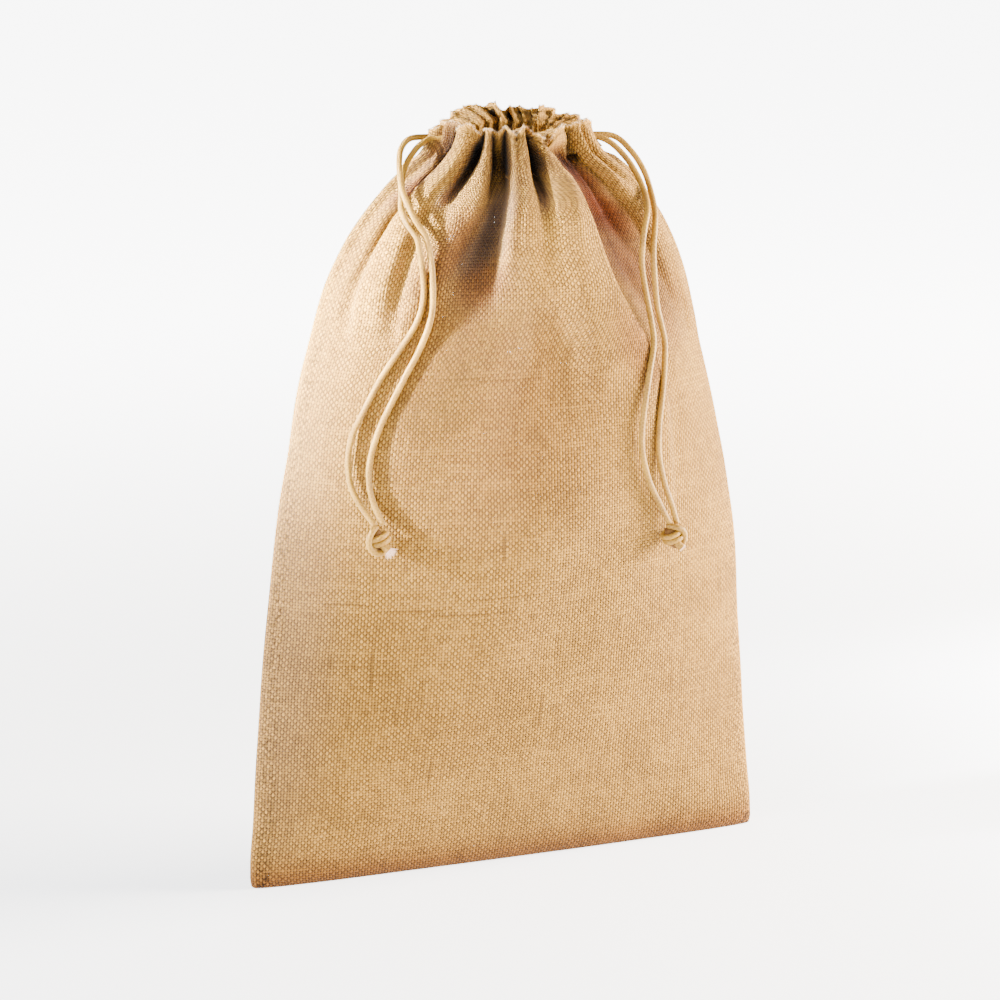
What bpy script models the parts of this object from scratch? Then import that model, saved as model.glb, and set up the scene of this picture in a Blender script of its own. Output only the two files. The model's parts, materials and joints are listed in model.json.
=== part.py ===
"""A burlap sack gathered by two drawcords, standing on its folded bottom edge.

Sizes in the tables are millimetres and become metres where the meshes are made. +Z is up, the front
faces -Y, and the side seams are at -X and +X. The origin is the middle of the flat underside.
"""

import math
from collections import namedtuple

import bmesh
import bpy
import numpy as np
from mathutils import Matrix

MM = 0.001

# The cloth, flat: one length folded at the bottom and seamed at both sides.
GIRTH = 600.0            # both panels, from the left seam round the front and back to it
CLOTH = 2.0              # burlap, with its nap
SEAM = 4.0               # cloth and turned-in allowance, measured in from a side seam
COLUMNS = 96             # points round one section

# The mouth: the top edge turned over as a channel for the cords.
CORD = 3.2               # diameter of a drawcord
RING_WIDTH = 33.5        # half width of the ring in which the cords lie
RING_DEPTH = 20.0        # half depth of that ring
RING_SHIFT = 2.0         # the ring's middle lies this far towards +X
PLAY = 3.0               # from the middle of a cord to the channel's wall
UPPER_CORD = 404.2       # height of the left cord in the channel
LOWER_CORD = 400.4       # height of the right cord in the channel
CHANNEL_LEVELS = (394.0, 398.4, 407.8)
TIP = 0.13               # the mouth tips forward: its rise for each millimetre towards the back
TIP_FROM = 365.0         # height at which the tip begins
TIP_FULL = 400.0         # height from which it is whole

# One row for each section, from the underside to the mouth. Shift moves a section towards +X.
# Roundness is the power of the lens: 0.5 is an ellipse, less is boxier and more is sharper at the
# seams. Pleat is the depth of the gathered folds there, from trough to crest.
Section = namedtuple("Section", "height half_width half_depth roundness pleat shift")
SECTIONS = [Section(*row) for row in (
    (0.0, 146.5, 8.0, 0.22, 0.0, 0.0),
    (3.0, 149.0, 10.5, 0.24, 0.0, 0.0),
    (12.0, 149.0, 14.0, 0.34, 0.0, 0.0),
    (35.0, 147.3, 21.5, 0.55, 0.0, 0.0),
    (75.0, 144.5, 33.0, 0.68, 1.0, -0.5),
    (120.0, 142.0, 43.5, 0.72, 3.0, -0.5),
    (165.0, 139.0, 52.0, 0.74, 5.0, -0.5),
    (210.0, 134.0, 58.5, 0.72, 9.0, -0.5),
    (250.0, 128.0, 61.0, 0.68, 14.0, -0.5),
    (280.0, 121.0, 60.0, 0.66, 18.0, -0.5),
    (305.0, 112.5, 56.5, 0.63, 21.0, 0.0),
    (325.0, 103.0, 52.5, 0.60, 22.0, 0.0),
    (342.0, 92.5, 50.0, 0.57, 22.0, 0.5),
    (357.0, 82.0, 47.5, 0.54, 20.0, 1.0),
    (370.0, 72.0, 45.5, 0.52, 17.0, 1.5),
    (380.0, 63.0, 43.5, 0.50, 14.0, 2.0),
)]
ELLIPSE = 0.5            # the roundness of a plain ellipse

# One row for each section of the turned-over hem, which follows the ring of the cords. Trough and
# lining are the distances of the outer face and the lining from that ring, outwards, in a trough,
# and the two pleats are how far each face stands out from there on a crest.
HemSection = namedtuple("HemSection", "height trough pleat lining lining_pleat")
HEM_SECTIONS = [HemSection(*row) for row in (
    (387.0, 16.0, 11.0, 11.5, 10.5),
    (396.0, 9.0, 9.5, -4.5, -1.0),
    (406.0, 5.0, 9.0, -5.0, -4.0),
    (411.5, 4.0, 8.0, -5.0, -4.0),
)]
MOUTH = HEM_SECTIONS[-1].height
RUFFLE = 4.0             # rise of the mouth's edge from a trough to a crest

# One row for each gathered fold: where its crest lies on the cloth at the mouth and where it dies
# out, in millimetres of girth from the left seam, how high it stands, and how far down it runs.
Fold = namedtuple("Fold", "mouth_seat foot_seat rise reach")
FOLDS = [Fold(*row) for row in (
    (0.0, 0.0, 0.95, 170.0),
    (58.0, 24.0, 1.00, 230.0),
    (97.0, 84.0, 0.85, 200.0),
    (137.0, 131.0, 1.05, 230.0),
    (187.0, 212.0, 1.15, 300.0),
    (245.0, 262.0, 0.85, 220.0),
    (300.0, 300.0, 1.00, 170.0),
    (344.0, 334.0, 0.80, 210.0),
    (380.0, 378.0, 1.05, 270.0),
    (414.0, 418.0, 0.75, 170.0),
    (450.0, 458.0, 1.10, 290.0),
    (488.0, 494.0, 0.85, 190.0),
    (522.0, 526.0, 1.00, 240.0),
    (557.0, 568.0, 0.80, 200.0),
)]
FOLD_MIDDLE = 0.45       # the share of a fold that lies inside the plain section
STEEPEST_WALL = 2.2      # the most that a fold's slope may stretch the way through the wall

# The opening in a seam where both ends of a cord come out.
EXIT_HALF_WIDTH = 9.0
EXIT_HALF_HEIGHT = 3.2
EXIT_INNER = 31.5        # from the middle of the ring to the near end of the cutter
EXIT_OUTER = 58.0
EXIT_SIDES = 14

# The cords' routes. Each strand runs from its exit, over the shoulder and down the front to the
# knot, on the side that its name says where it leaves the exit.
CORD_SIDES = 2           # bevel resolution, which gives eight sides
ROUTE_STEP = 8.0         # between the points of a tube
ROUTE_FINENESS = 20      # points worked out on the smooth curve between two of a route's own
STRAND_GAP = 2.1         # from the middle of an exit to each of its two strands
EXIT_REACH = 44.0        # from the middle of the ring to the place where a strand clears the cloth
RING_START = 20.0        # degrees from a seam at which a cord joins the ring
RING_POINTS = 17         # of the route on the ring
LEFT_BACK_STRAND = (
    (-55.0, -2.0, 404.5), (-62.5, -8.5, 400.5), (-66.0, -15.0, 394.0), (-67.5, -20.5, 387.5),
    (-68.0, -25.0, 381.0), (-65.5, -34.5, 369.0), (-60.5, -38.5, 359.0), (-58.0, -40.5, 347.0),
    (-57.5, -42.0, 331.0), (-59.0, -42.5, 316.0), (-64.5, -41.5, 301.0), (-73.0, -40.0, 285.0),
    (-81.0, -38.0, 269.0), (-87.0, -37.0, 256.0), (-91.0, -36.5, 242.0), (-92.0, -37.0, 229.0),
    (-90.0, -39.5, 218.0),
)
LEFT_FRONT_STRAND = (
    (-50.5, -5.0, 401.5), (-57.5, -9.5, 396.5), (-62.5, -13.0, 391.0), (-65.0, -16.5, 386.0),
    (-67.0, -20.5, 379.0), (-69.0, -26.0, 371.5), (-68.5, -33.6, 365.0), (-65.0, -38.4, 358.0),
    (-63.5, -39.5, 349.0), (-61.5, -38.5, 335.5), (-62.0, -39.0, 325.0), (-65.5, -39.0, 314.0),
    (-73.5, -37.5, 301.0), (-84.0, -35.0, 285.0), (-93.5, -33.0, 267.0), (-99.0, -31.5, 255.0),
    (-101.5, -31.5, 242.0), (-101.0, -33.5, 228.5), (-96.5, -38.5, 217.0),
)
RIGHT_BACK_STRAND = (
    (61.5, -0.5, 399.0), (69.5, -6.5, 391.0), (74.0, -12.5, 381.5), (75.5, -18.5, 371.5),
    (73.5, -29.0, 362.5), (71.0, -35.0, 355.0), (69.0, -38.0, 342.0), (69.5, -39.0, 327.0),
    (71.0, -39.5, 312.0), (73.0, -41.0, 301.5), (74.5, -42.0, 292.0), (73.5, -43.5, 275.0),
    (71.0, -46.0, 260.5), (69.0, -47.5, 245.0), (69.5, -47.5, 231.5), (73.0, -47.0, 216.5),
    (78.0, -45.5, 204.0),
)
RIGHT_FRONT_STRAND = (
    (56.0, -5.0, 397.5), (63.5, -9.5, 390.0), (68.5, -14.5, 381.0), (70.5, -21.5, 371.5),
    (67.0, -34.0, 364.0), (63.0, -39.5, 355.0), (61.5, -40.5, 346.0), (62.0, -39.0, 335.0),
    (64.0, -40.0, 320.5), (66.0, -43.0, 305.5), (66.0, -46.5, 294.0), (62.0, -51.0, 281.0),
    (58.0, -54.2, 264.0), (56.0, -54.8, 249.0), (57.0, -53.5, 236.5), (62.0, -51.0, 220.5),
    (70.0, -47.5, 206.0),
)

# The overhand knots, as plain lumps of their outer form.
KNOT_SIZE = (14.5, 12.5, 14.5)
LEFT_KNOT = (-89.0, -44.0, 200.0)
RIGHT_KNOT = (79.0, -45.5, 185.5)
KNOT_SEAT = 0.9          # between a strand's end and its knot

JUTE = (0.56, 0.35, 0.17, 1.0)
CORD_STRAW = (0.72, 0.52, 0.28, 1.0)


def row_at(table, height):
    """The row of a table of sections that belongs at a height, between the rows it has."""
    columns = np.array(table).T
    return type(table[0])(*(np.interp(height, columns[0], column) for column in columns))


def lens(half_width, half_depth, roundness, angles, shift=0.0):
    """A closed outline, from the left seam round the front to the right seam and round the back."""
    across = shift - half_width * np.cos(angles)
    depth = half_depth * np.abs(np.sin(angles)) ** (2.0 * roundness)
    return np.stack([across, -np.sign(np.sin(angles)) * depth], axis=1)


def even_angles(half_width, half_depth, roundness):
    """The angles that space the columns evenly along the cloth."""
    fine = np.linspace(0.0, math.pi, 15 * COLUMNS // 2 + 1)
    outline = lens(half_width, half_depth, roundness, fine)
    run = np.concatenate([[0.0], np.cumsum(np.linalg.norm(np.diff(outline, axis=0), axis=1))])
    half = COLUMNS // 2
    front = np.interp(np.arange(half) * run[-1] / half, run, fine)
    return np.concatenate([front, front + math.pi])


def outward(outline):
    """Unit normals of a closed outline, each square to the line between its neighbours."""
    along = np.roll(outline, -1, axis=0) - np.roll(outline, 1, axis=0)
    normal = np.stack([along[:, 1], -along[:, 0]], axis=1)
    return normal / np.linalg.norm(normal, axis=1, keepdims=True)


def folds_at(height):
    """How far each column stands on a fold: 0 in a trough and about 1 on a crest at the mouth."""
    fallen = [min(1.0, (MOUTH - height) / fold.reach) for fold in FOLDS]
    seats = [fold.mouth_seat + (fold.foot_seat - fold.mouth_seat) * down
             for fold, down in zip(FOLDS, fallen)]
    rises = [fold.rise * 0.5 * (1.0 + math.cos(math.pi * down))
             for fold, down in zip(FOLDS, fallen)]
    girth = np.arange(COLUMNS) * GIRTH / COLUMNS
    height_on_fold = np.zeros(COLUMNS)
    for i, (seat, rise) in enumerate(zip(seats, rises)):
        before = (seat - seats[i - 1]) % GIRTH / 2.0
        after = (seats[(i + 1) % len(seats)] - seat) % GIRTH / 2.0
        offset = (girth - seat + GIRTH / 2.0) % GIRTH - GIRTH / 2.0
        share = np.where(offset < 0.0, -offset / before, offset / after)
        height_on_fold += rise * np.where(share < 1.0, 0.5 + 0.5 * np.cos(math.pi * share), 0.0)
    return height_on_fold


def wall_stretch(outline, offset):
    """How much further through the wall it is along the plain normal than square to the cloth."""
    step = np.linalg.norm(np.roll(outline, -1, axis=0) - np.roll(outline, 1, axis=0), axis=1)
    slope = (np.roll(offset, -1) - np.roll(offset, 1)) / step
    return np.minimum(np.sqrt(1.0 + slope ** 2), STEEPEST_WALL)


def cloth_rings(height):
    """The outer and inner outline of the single cloth at a height."""
    at = row_at(SECTIONS, height)
    angles = even_angles(at.half_width, at.half_depth, at.roundness)
    outer = lens(at.half_width, at.half_depth, at.roundness, angles, at.shift)
    inner = lens(at.half_width - SEAM, at.half_depth - CLOTH, at.roundness, angles, at.shift)
    normal = outward(outer)
    offset = at.pleat * (folds_at(height) - FOLD_MIDDLE)
    thicker = CLOTH * (wall_stretch(outer, offset) - 1.0)
    return (outer + normal * offset[:, None],
            inner + normal * (offset - thicker)[:, None])


def hem_rings(height):
    """Outlines through the hem: outer face, tunnel's outer and inner wall, and lining face."""
    at = row_at(HEM_SECTIONS, height)
    angles = even_angles(RING_WIDTH, RING_DEPTH, ELLIPSE)
    ring = lens(RING_WIDTH, RING_DEPTH, ELLIPSE, angles, RING_SHIFT)
    normal = outward(ring)
    folds = folds_at(height)
    outside = at.trough + at.pleat * folds
    inside = at.lining + at.lining_pleat * np.minimum(folds, 1.0)
    tunnel_out = outside - CLOTH * wall_stretch(ring, outside)
    tunnel_in = inside + CLOTH * wall_stretch(ring, inside)
    if height > CHANNEL_LEVELS[0]:
        tunnel_out = np.maximum(tunnel_out, PLAY)
        tunnel_in = np.minimum(tunnel_in, -PLAY)
    return [ring + normal * d[:, None] for d in (outside, tunnel_out, tunnel_in, inside)]


def smooth_route(points):
    """Evenly spaced points on the smooth curve through a route's own points."""
    route = np.array(points)
    ends = np.concatenate([[2 * route[0] - route[1]], route, [2 * route[-1] - route[-2]]])
    fine = []
    for p0, p1, p2, p3 in zip(ends, ends[1:], ends[2:], ends[3:]):
        t = np.linspace(0.0, 1.0, ROUTE_FINENESS, endpoint=False)[:, None]
        fine.append(0.5 * (2 * p1 + (p2 - p0) * t + (2 * p0 - 5 * p1 + 4 * p2 - p3) * t ** 2
                           + (3 * p1 - p0 - 3 * p2 + p3) * t ** 3))
    fine = np.concatenate(fine + [route[-1:]])
    run = np.concatenate([[0.0], np.cumsum(np.linalg.norm(np.diff(fine, axis=0), axis=1))])
    count = int(round(run[-1] / ROUTE_STEP))
    even = np.linspace(0.0, run[-1], count + 1)
    return np.stack([np.interp(even, run, fine[:, i]) for i in range(3)], axis=1)


def cord_route(side, level, front_strand, back_strand, knot):
    """A whole cord: up the front strand, once round the channel and down the back strand."""
    start = math.radians(RING_START)
    angles = np.linspace(start, 2.0 * math.pi - start, RING_POINTS)
    ring = [tipped((RING_SHIFT + side * RING_WIDTH * math.cos(a), -RING_DEPTH * math.sin(a), level))
            for a in angles]
    exits = [(RING_SHIFT + side * EXIT_REACH, y, level) for y in (-STRAND_GAP, STRAND_GAP)]
    top = knot[2] + KNOT_SIZE[2] / 2.0 + KNOT_SEAT
    feet = [(knot[0] + x, knot[1], top) for x in (-STRAND_GAP, STRAND_GAP)]
    return [feet[0], *front_strand[::-1], exits[0], *ring, exits[1], *back_strand, feet[1]]


def material(name, colour, roughness):
    """A plain Principled material."""
    made = bpy.data.materials.new(name)
    made.use_nodes = True
    shader = made.node_tree.nodes["Principled BSDF"]
    shader.inputs["Base Color"].default_value = colour
    shader.inputs["Roughness"].default_value = roughness
    shader.inputs["Metallic"].default_value = 0.0
    return made


def tipped(place):
    """A place on the upright mouth, where the tipped mouth carries it."""
    x, y, z = place
    share = min(1.0, max(0.0, (z - TIP_FROM) / (TIP_FULL - TIP_FROM)))
    return (x, y, z + TIP * y * share)


def add_ring(mesh, outline, height):
    """One ring of vertices at a height, or with the mouth's ruffled edge at the top."""
    rise = RUFFLE * (folds_at(height) - FOLD_MIDDLE) if height == MOUTH else 0.0
    heights = height + rise * np.ones(COLUMNS)
    return [mesh.verts.new([c * MM for c in tipped((x, y, z))])
            for (x, y), z in zip(outline, heights)]


def add_band(mesh, lower, upper):
    """Quads between two rings."""
    for k in range(COLUMNS):
        nxt = (k + 1) % COLUMNS
        mesh.faces.new((lower[k], lower[nxt], upper[nxt], upper[k]))


def add_floor(mesh, ring, facing_down):
    """A flat floor across a ring, from each front column to the back one behind it."""
    for k in range(COLUMNS // 2):
        corners = [ring[k], ring[-k % COLUMNS], ring[COLUMNS - k - 1], ring[k + 1]]
        corners = list(dict.fromkeys(corners))
        mesh.faces.new(corners if facing_down else corners[::-1])


def mesh_object(name, mesh, collection):
    """A new object from a bmesh, in a collection."""
    data = bpy.data.meshes.new(name)
    mesh.to_mesh(data)
    mesh.free()
    made = bpy.data.objects.new(name, data)
    collection.objects.link(made)
    return made


def make_tunnel(cutters):
    """The space inside the channel, as a closed ring."""
    mesh = bmesh.new()
    walls = [hem_rings(height)[1:3] for height in CHANNEL_LEVELS]
    loop = [add_ring(mesh, wall[0], height) for wall, height in zip(walls, CHANNEL_LEVELS)]
    loop += [add_ring(mesh, wall[1], height) for wall, height in zip(walls, CHANNEL_LEVELS)][::-1]
    for lower, upper in zip(loop, loop[1:] + loop[:1]):
        add_band(mesh, lower, upper)
    return mesh_object("tunnel_cutter", mesh, cutters)


def make_exit(side, height, cutters):
    """The opening in a side seam through which the two ends of a cord leave the channel."""
    mesh = bmesh.new()
    bmesh.ops.create_cone(mesh, cap_ends=True, segments=EXIT_SIDES, radius1=1.0, radius2=1.0,
                          depth=1.0, matrix=Matrix.Rotation(math.pi / EXIT_SIDES, 4, "Z"))
    middle = RING_SHIFT + side * (EXIT_INNER + EXIT_OUTER) / 2.0
    for vert in mesh.verts:
        x, y, z = vert.co
        place = (middle + z * (EXIT_OUTER - EXIT_INNER), EXIT_HALF_WIDTH * x,
                 height + EXIT_HALF_HEIGHT * y)
        vert.co = [c * MM for c in tipped(place)]
    bmesh.ops.recalc_face_normals(mesh, faces=mesh.faces)
    return mesh_object("exit_cutter", mesh, cutters)


def make_sack(parts, cutters, jute):
    """The cloth: outer face up to the mouth, over the hem's top edge and down the inner face."""
    mesh = bmesh.new()
    body = [row.height for row in SECTIONS]
    hem = [row.height for row in HEM_SECTIONS]
    outer = [add_ring(mesh, cloth_rings(height)[0], height) for height in body]
    outer += [add_ring(mesh, hem_rings(height)[0], height) for height in hem]
    lining = [add_ring(mesh, hem_rings(height)[3], height) for height in hem]
    inner = [add_ring(mesh, cloth_rings(max(height, CLOTH))[1], max(height, CLOTH))
             for height in body]
    rows = outer + lining[::-1] + inner[::-1]
    for lower, upper in zip(rows, rows[1:]):
        add_band(mesh, lower, upper)
    add_floor(mesh, outer[0], True)
    add_floor(mesh, inner[0], False)
    sack = mesh_object("sack", mesh, parts)
    sack.data.materials.append(jute)
    for cutter in (make_tunnel(cutters), make_exit(-1, UPPER_CORD, cutters),
                   make_exit(1, LOWER_CORD, cutters)):
        cutter.hide_render = True
        cutter.display_type = "WIRE"
        cut = sack.modifiers.new(cutter.name, "BOOLEAN")
        cut.operation = "DIFFERENCE"
        cut.solver = "EXACT"
        cut.object = cutter
    return sack


def make_drawcord(name, route, parts, straw):
    """A cord as a round tube along its route."""
    data = bpy.data.curves.new(name, "CURVE")
    data.dimensions = "3D"
    data.bevel_depth = CORD / 2.0 * MM
    data.bevel_resolution = CORD_SIDES
    data.use_fill_caps = True
    points = smooth_route(route) * MM
    spline = data.splines.new("POLY")
    spline.points.add(len(points) - 1)
    for point, place in zip(spline.points, points):
        point.co = (*place, 1.0)
    data.materials.append(straw)
    cord = bpy.data.objects.new(name, data)
    parts.objects.link(cord)
    return cord


def make_knot(name, middle, parts, straw):
    """A knot's outer form."""
    mesh = bmesh.new()
    bmesh.ops.create_icosphere(mesh, subdivisions=3, radius=1.0)
    for vert in mesh.verts:
        vert.co = [0.5 * MM * size * c for size, c in zip(KNOT_SIZE, vert.co)]
    knot = mesh_object(name, mesh, parts)
    knot.location = [c * MM for c in middle]
    knot.data.materials.append(straw)
    knot.data.shade_smooth()
    return knot


def main():
    """Build the sack in an empty scene."""
    for old in list(bpy.data.objects):
        bpy.data.objects.remove(old, do_unlink=True)
    parts = bpy.data.collections.new("burlap_sack")
    cutters = bpy.data.collections.new("cutters")
    for collection in (parts, cutters):
        bpy.context.scene.collection.children.link(collection)
    jute = material("jute_burlap", JUTE, 0.9)
    straw = material("waxed_cord", CORD_STRAW, 0.6)
    make_sack(parts, cutters, jute)
    left = cord_route(-1, UPPER_CORD, LEFT_FRONT_STRAND, LEFT_BACK_STRAND, LEFT_KNOT)
    right = cord_route(1, LOWER_CORD, RIGHT_FRONT_STRAND, RIGHT_BACK_STRAND, RIGHT_KNOT)
    make_drawcord("drawcord_left", left, parts, straw)
    make_drawcord("drawcord_right", right, parts, straw)
    make_knot("knot_left", LEFT_KNOT, parts, straw)
    make_knot("knot_right", RIGHT_KNOT, parts, straw)


main()
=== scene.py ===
"""Looks of an upright drawstring sack of natural jute burlap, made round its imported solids.

Tables hold real sizes in millimetres, and meshes are made in metres. +Z is up, the front faces -Y
and the side seams are at -X and +X. A place on the cloth is a height and a girth: millimetres round
the plain sack from the left seam, over the front to the right seam at 300 and round the back to 600.
"""

import json
import logging
import math
from collections.abc import Callable
from dataclasses import dataclass
from enum import Enum
from functools import partial

import bpy
import numpy as np
from bpy.types import Material, Mesh, Node, NodeSocket, NodeTree, Object, bpy_prop_collection
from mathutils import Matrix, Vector

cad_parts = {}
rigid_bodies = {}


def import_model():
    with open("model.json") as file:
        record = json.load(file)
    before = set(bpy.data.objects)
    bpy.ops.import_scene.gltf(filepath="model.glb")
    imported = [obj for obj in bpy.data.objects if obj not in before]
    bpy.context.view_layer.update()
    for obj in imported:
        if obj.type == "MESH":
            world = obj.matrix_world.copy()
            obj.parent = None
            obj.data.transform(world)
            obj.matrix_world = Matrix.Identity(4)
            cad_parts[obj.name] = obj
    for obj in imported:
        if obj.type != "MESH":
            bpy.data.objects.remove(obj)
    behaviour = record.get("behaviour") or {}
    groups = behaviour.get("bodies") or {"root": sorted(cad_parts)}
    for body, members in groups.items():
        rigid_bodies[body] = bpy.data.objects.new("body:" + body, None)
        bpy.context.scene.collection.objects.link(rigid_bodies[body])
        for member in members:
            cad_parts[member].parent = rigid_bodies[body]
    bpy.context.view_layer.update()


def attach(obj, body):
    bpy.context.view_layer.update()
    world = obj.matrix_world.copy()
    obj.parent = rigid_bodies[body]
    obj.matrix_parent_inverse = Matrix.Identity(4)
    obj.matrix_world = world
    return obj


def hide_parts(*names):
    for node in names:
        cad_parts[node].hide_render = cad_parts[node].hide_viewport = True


Point = tuple[float, float, float]
AddNode = Callable[..., Node]
LOG = logging.getLogger("burlap_sack")

MM = 0.001
TURN = 2.0 * math.pi
GIRTH = 600.0            # both panels, seam to seam and back
PANEL = GIRTH / 2.0
HEM = 25.0               # the mouth's edge is turned in this far and stitched down
SEAM_ALLOWANCE = 12.0    # turned in at each side seam
THREAD_PITCH = 1.65      # from one jute thread to the next
BURLAP = 0.6             # thickness of one layer between its threads' nap
CORD = 3.2               # diameter of a drawcord
TIP = 0.13               # the mouth's rise for each millimetre towards the back


class Side(Enum):
    """A side of the sack, by its direction along X."""

    LEFT = -1
    RIGHT = 1


# --------------------------------------------------------------------------- helpers


def linear(code: str) -> tuple[float, float, float, float]:
    """Turn an sRGB hex colour into the linear colour that Blender's sockets hold.

    Args:
        code: six hex digits.

    Returns:
        Linear red, green, blue and an alpha of 1.
    """
    parts = [int(code[i:i + 2], 16) / 255.0 for i in (0, 2, 4)]
    return (*(p / 12.92 if p <= 0.04045 else ((p + 0.055) / 1.055) ** 2.4 for p in parts), 1.0)


def add_node(tree: NodeTree, kind: str, inputs: dict | None = None, **settings: object) -> Node:
    """Add a node with its settings and its links.

    Args:
        tree: the node tree.
        kind: the node's type name.
        inputs: by input name or number, a value, or the socket or node to link from. A node
            stands for its first output.
        settings: values of the node's own properties.

    Returns:
        The new node.
    """
    node = tree.nodes.new(kind)
    for name, value in settings.items():
        setattr(node, name, value)
    for name, value in (inputs or {}).items():
        value = value.outputs[0] if isinstance(value, Node) else value
        if isinstance(value, NodeSocket):
            tree.links.new(value, node.inputs[name])
        else:
            node.inputs[name].default_value = value
    return node


def new_material(name: str) -> tuple[Material, AddNode]:
    """Start a material.

    Args:
        name: the material's name.

    Returns:
        The material with an empty node tree, and add_node for that tree.
    """
    made = bpy.data.materials.new(name)
    made.use_nodes = True
    made.node_tree.nodes.clear()
    return made, partial(add_node, made.node_tree)


def arch(add: AddNode, at: NodeSocket, middle: float, reach: float | Node,
         clamped: bool = False) -> Node:
    """Add nodes that give 1 at a middle and fall as a parabola to 0 at its reach.

    Args:
        add: adds a node to the tree.
        at: the place.
        middle: where the arch is highest.
        reach: how far it stretches to either side.
        clamped: whether it stays 0 past its reach.

    Returns:
        The arch's last node.
    """
    off = add("ShaderNodeMath", {0: at, 1: middle}, operation="SUBTRACT")
    share = add("ShaderNodeMath", {0: off, 1: reach}, operation="DIVIDE")
    square = add("ShaderNodeMath", {0: share, 1: share}, operation="MULTIPLY")
    return add("ShaderNodeMath", {0: 1.0, 1: square}, operation="SUBTRACT", use_clamp=clamped)


def eased(at: float | np.ndarray, places: list[float], values: list[float]) -> np.ndarray:
    """Read a smooth curve through a table's points, which never overshoots them.

    Args:
        at: where to read it.
        places: rising places of the points.
        values: the curve's values there.

    Returns:
        The values at those places, held level past both ends.
    """
    x, y = np.asarray(places, float), np.asarray(values, float)
    slope = np.diff(y) / np.diff(x)
    bend = np.concatenate([[0.0], 2.0 * slope[1:] * slope[:-1], [0.0]])
    total = np.concatenate([[1.0], slope[1:] + slope[:-1], [1.0]])
    tangent = np.where(bend > 0.0, bend / np.where(total == 0.0, 1.0, total), 0.0)
    at = np.clip(at, x[0], x[-1])
    k = np.clip(np.searchsorted(x, at, side="right") - 1, 0, len(x) - 2)
    width = x[k + 1] - x[k]
    t = (at - x[k]) / width
    return ((2 * t ** 3 - 3 * t ** 2 + 1) * y[k] + (t ** 3 - 2 * t ** 2 + t) * width * tangent[k]
            + (3 * t ** 2 - 2 * t ** 3) * y[k + 1] + (t ** 3 - t ** 2) * width * tangent[k + 1])


def hump(at: np.ndarray, middle: float, reach: float) -> np.ndarray:
    """A bell curve: 1 at its middle, and nearly 0 twice its reach away."""
    return np.exp(-((at - middle) / reach) ** 2)


def below(at: np.ndarray, limit: float, blur: float) -> np.ndarray:
    """A soft step: 1 below its limit and 0 above it."""
    return 1.0 / (1.0 + np.exp((at - limit) / blur))


def distances(points: np.ndarray) -> np.ndarray:
    """Distance along a path from its start to each of its points."""
    return np.concatenate([[0.0], np.cumsum(np.linalg.norm(np.diff(points, axis=0), axis=1))])


def resampled(points: np.ndarray, run: np.ndarray, wanted: np.ndarray) -> np.ndarray:
    """Read a path's columns at the wanted places of its run."""
    return np.stack([np.interp(wanted, run, column) for column in points.T], axis=1)


def outward(rings: np.ndarray, span: int) -> np.ndarray:
    """Level normals of closed rings, whose points stand on the last axis but one.

    Args:
        rings: the points.
        span: how many points to either side a normal is worked out from.

    Returns:
        The unit normals, outwards.
    """
    ahead = np.roll(rings, -span, axis=-2) - np.roll(rings, span, axis=-2)
    normal = np.stack([ahead[..., 1], -ahead[..., 0]], axis=-1)
    return normal / np.linalg.norm(normal, axis=-1, keepdims=True)


def smooth_route(points: list[Point], step: float) -> np.ndarray:
    """Space points evenly along the smooth curve through a route's own points.

    Args:
        points: the route's own points.
        step: the spacing wanted.

    Returns:
        An array of points, a row each.
    """
    route = np.array(points, float)
    ends = np.concatenate([[2 * route[0] - route[1]], route, [2 * route[-1] - route[-2]]])
    t = np.linspace(0.0, 1.0, 24, endpoint=False)[:, None]
    fine = np.concatenate([
        0.5 * (2 * p1 + (p2 - p0) * t + (2 * p0 - 5 * p1 + 4 * p2 - p3) * t ** 2
               + (3 * p1 - p0 - 3 * p2 + p3) * t ** 3)
        for p0, p1, p2, p3 in zip(ends, ends[1:], ends[2:], ends[3:])] + [route[-1:]])
    run = distances(fine)
    return resampled(fine, run, np.linspace(0.0, run[-1], max(2, int(round(run[-1] / step)) + 1)))


def band(rows: int, columns: int) -> tuple[list[tuple[int, ...]], list[tuple[tuple[int, int], ...]]]:
    """Number the quads of a closed band.

    Args:
        rows: rows of vertices.
        columns: vertices round a row.

    Returns:
        The faces, and each face's corners as rows and columns that count on past the lap.
    """
    quads = [((r, c), (r, c + 1), (r + 1, c + 1), (r + 1, c))
             for r in range(rows - 1) for c in range(columns)]
    return [tuple(r * columns + c % columns for r, c in quad) for quad in quads], quads


def mesh_piece(name: str, points: np.ndarray, faces: list[tuple[int, ...]],
               uvs: np.ndarray | None = None) -> Object:
    """Make a smooth-shaded mesh object at the origin.

    Args:
        name: the piece's name.
        points: vertices in millimetres.
        faces: tuples of vertex numbers, which face outwards.
        uvs: a place on the cloth or cord for each face corner, in metres.

    Returns:
        The new object, linked to the scene.
    """
    mesh = bpy.data.meshes.new(name)
    mesh.from_pydata((np.asarray(points) * MM).tolist(), [], faces)
    if uvs is not None:
        layer = mesh.uv_layers.new(name="cloth")
        layer.data.foreach_set("uv", np.asarray(uvs, np.float32).ravel())
    mesh.shade_smooth()
    mesh.update()
    piece = bpy.data.objects.new(name, mesh)
    bpy.context.scene.collection.objects.link(piece)
    return piece


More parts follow.
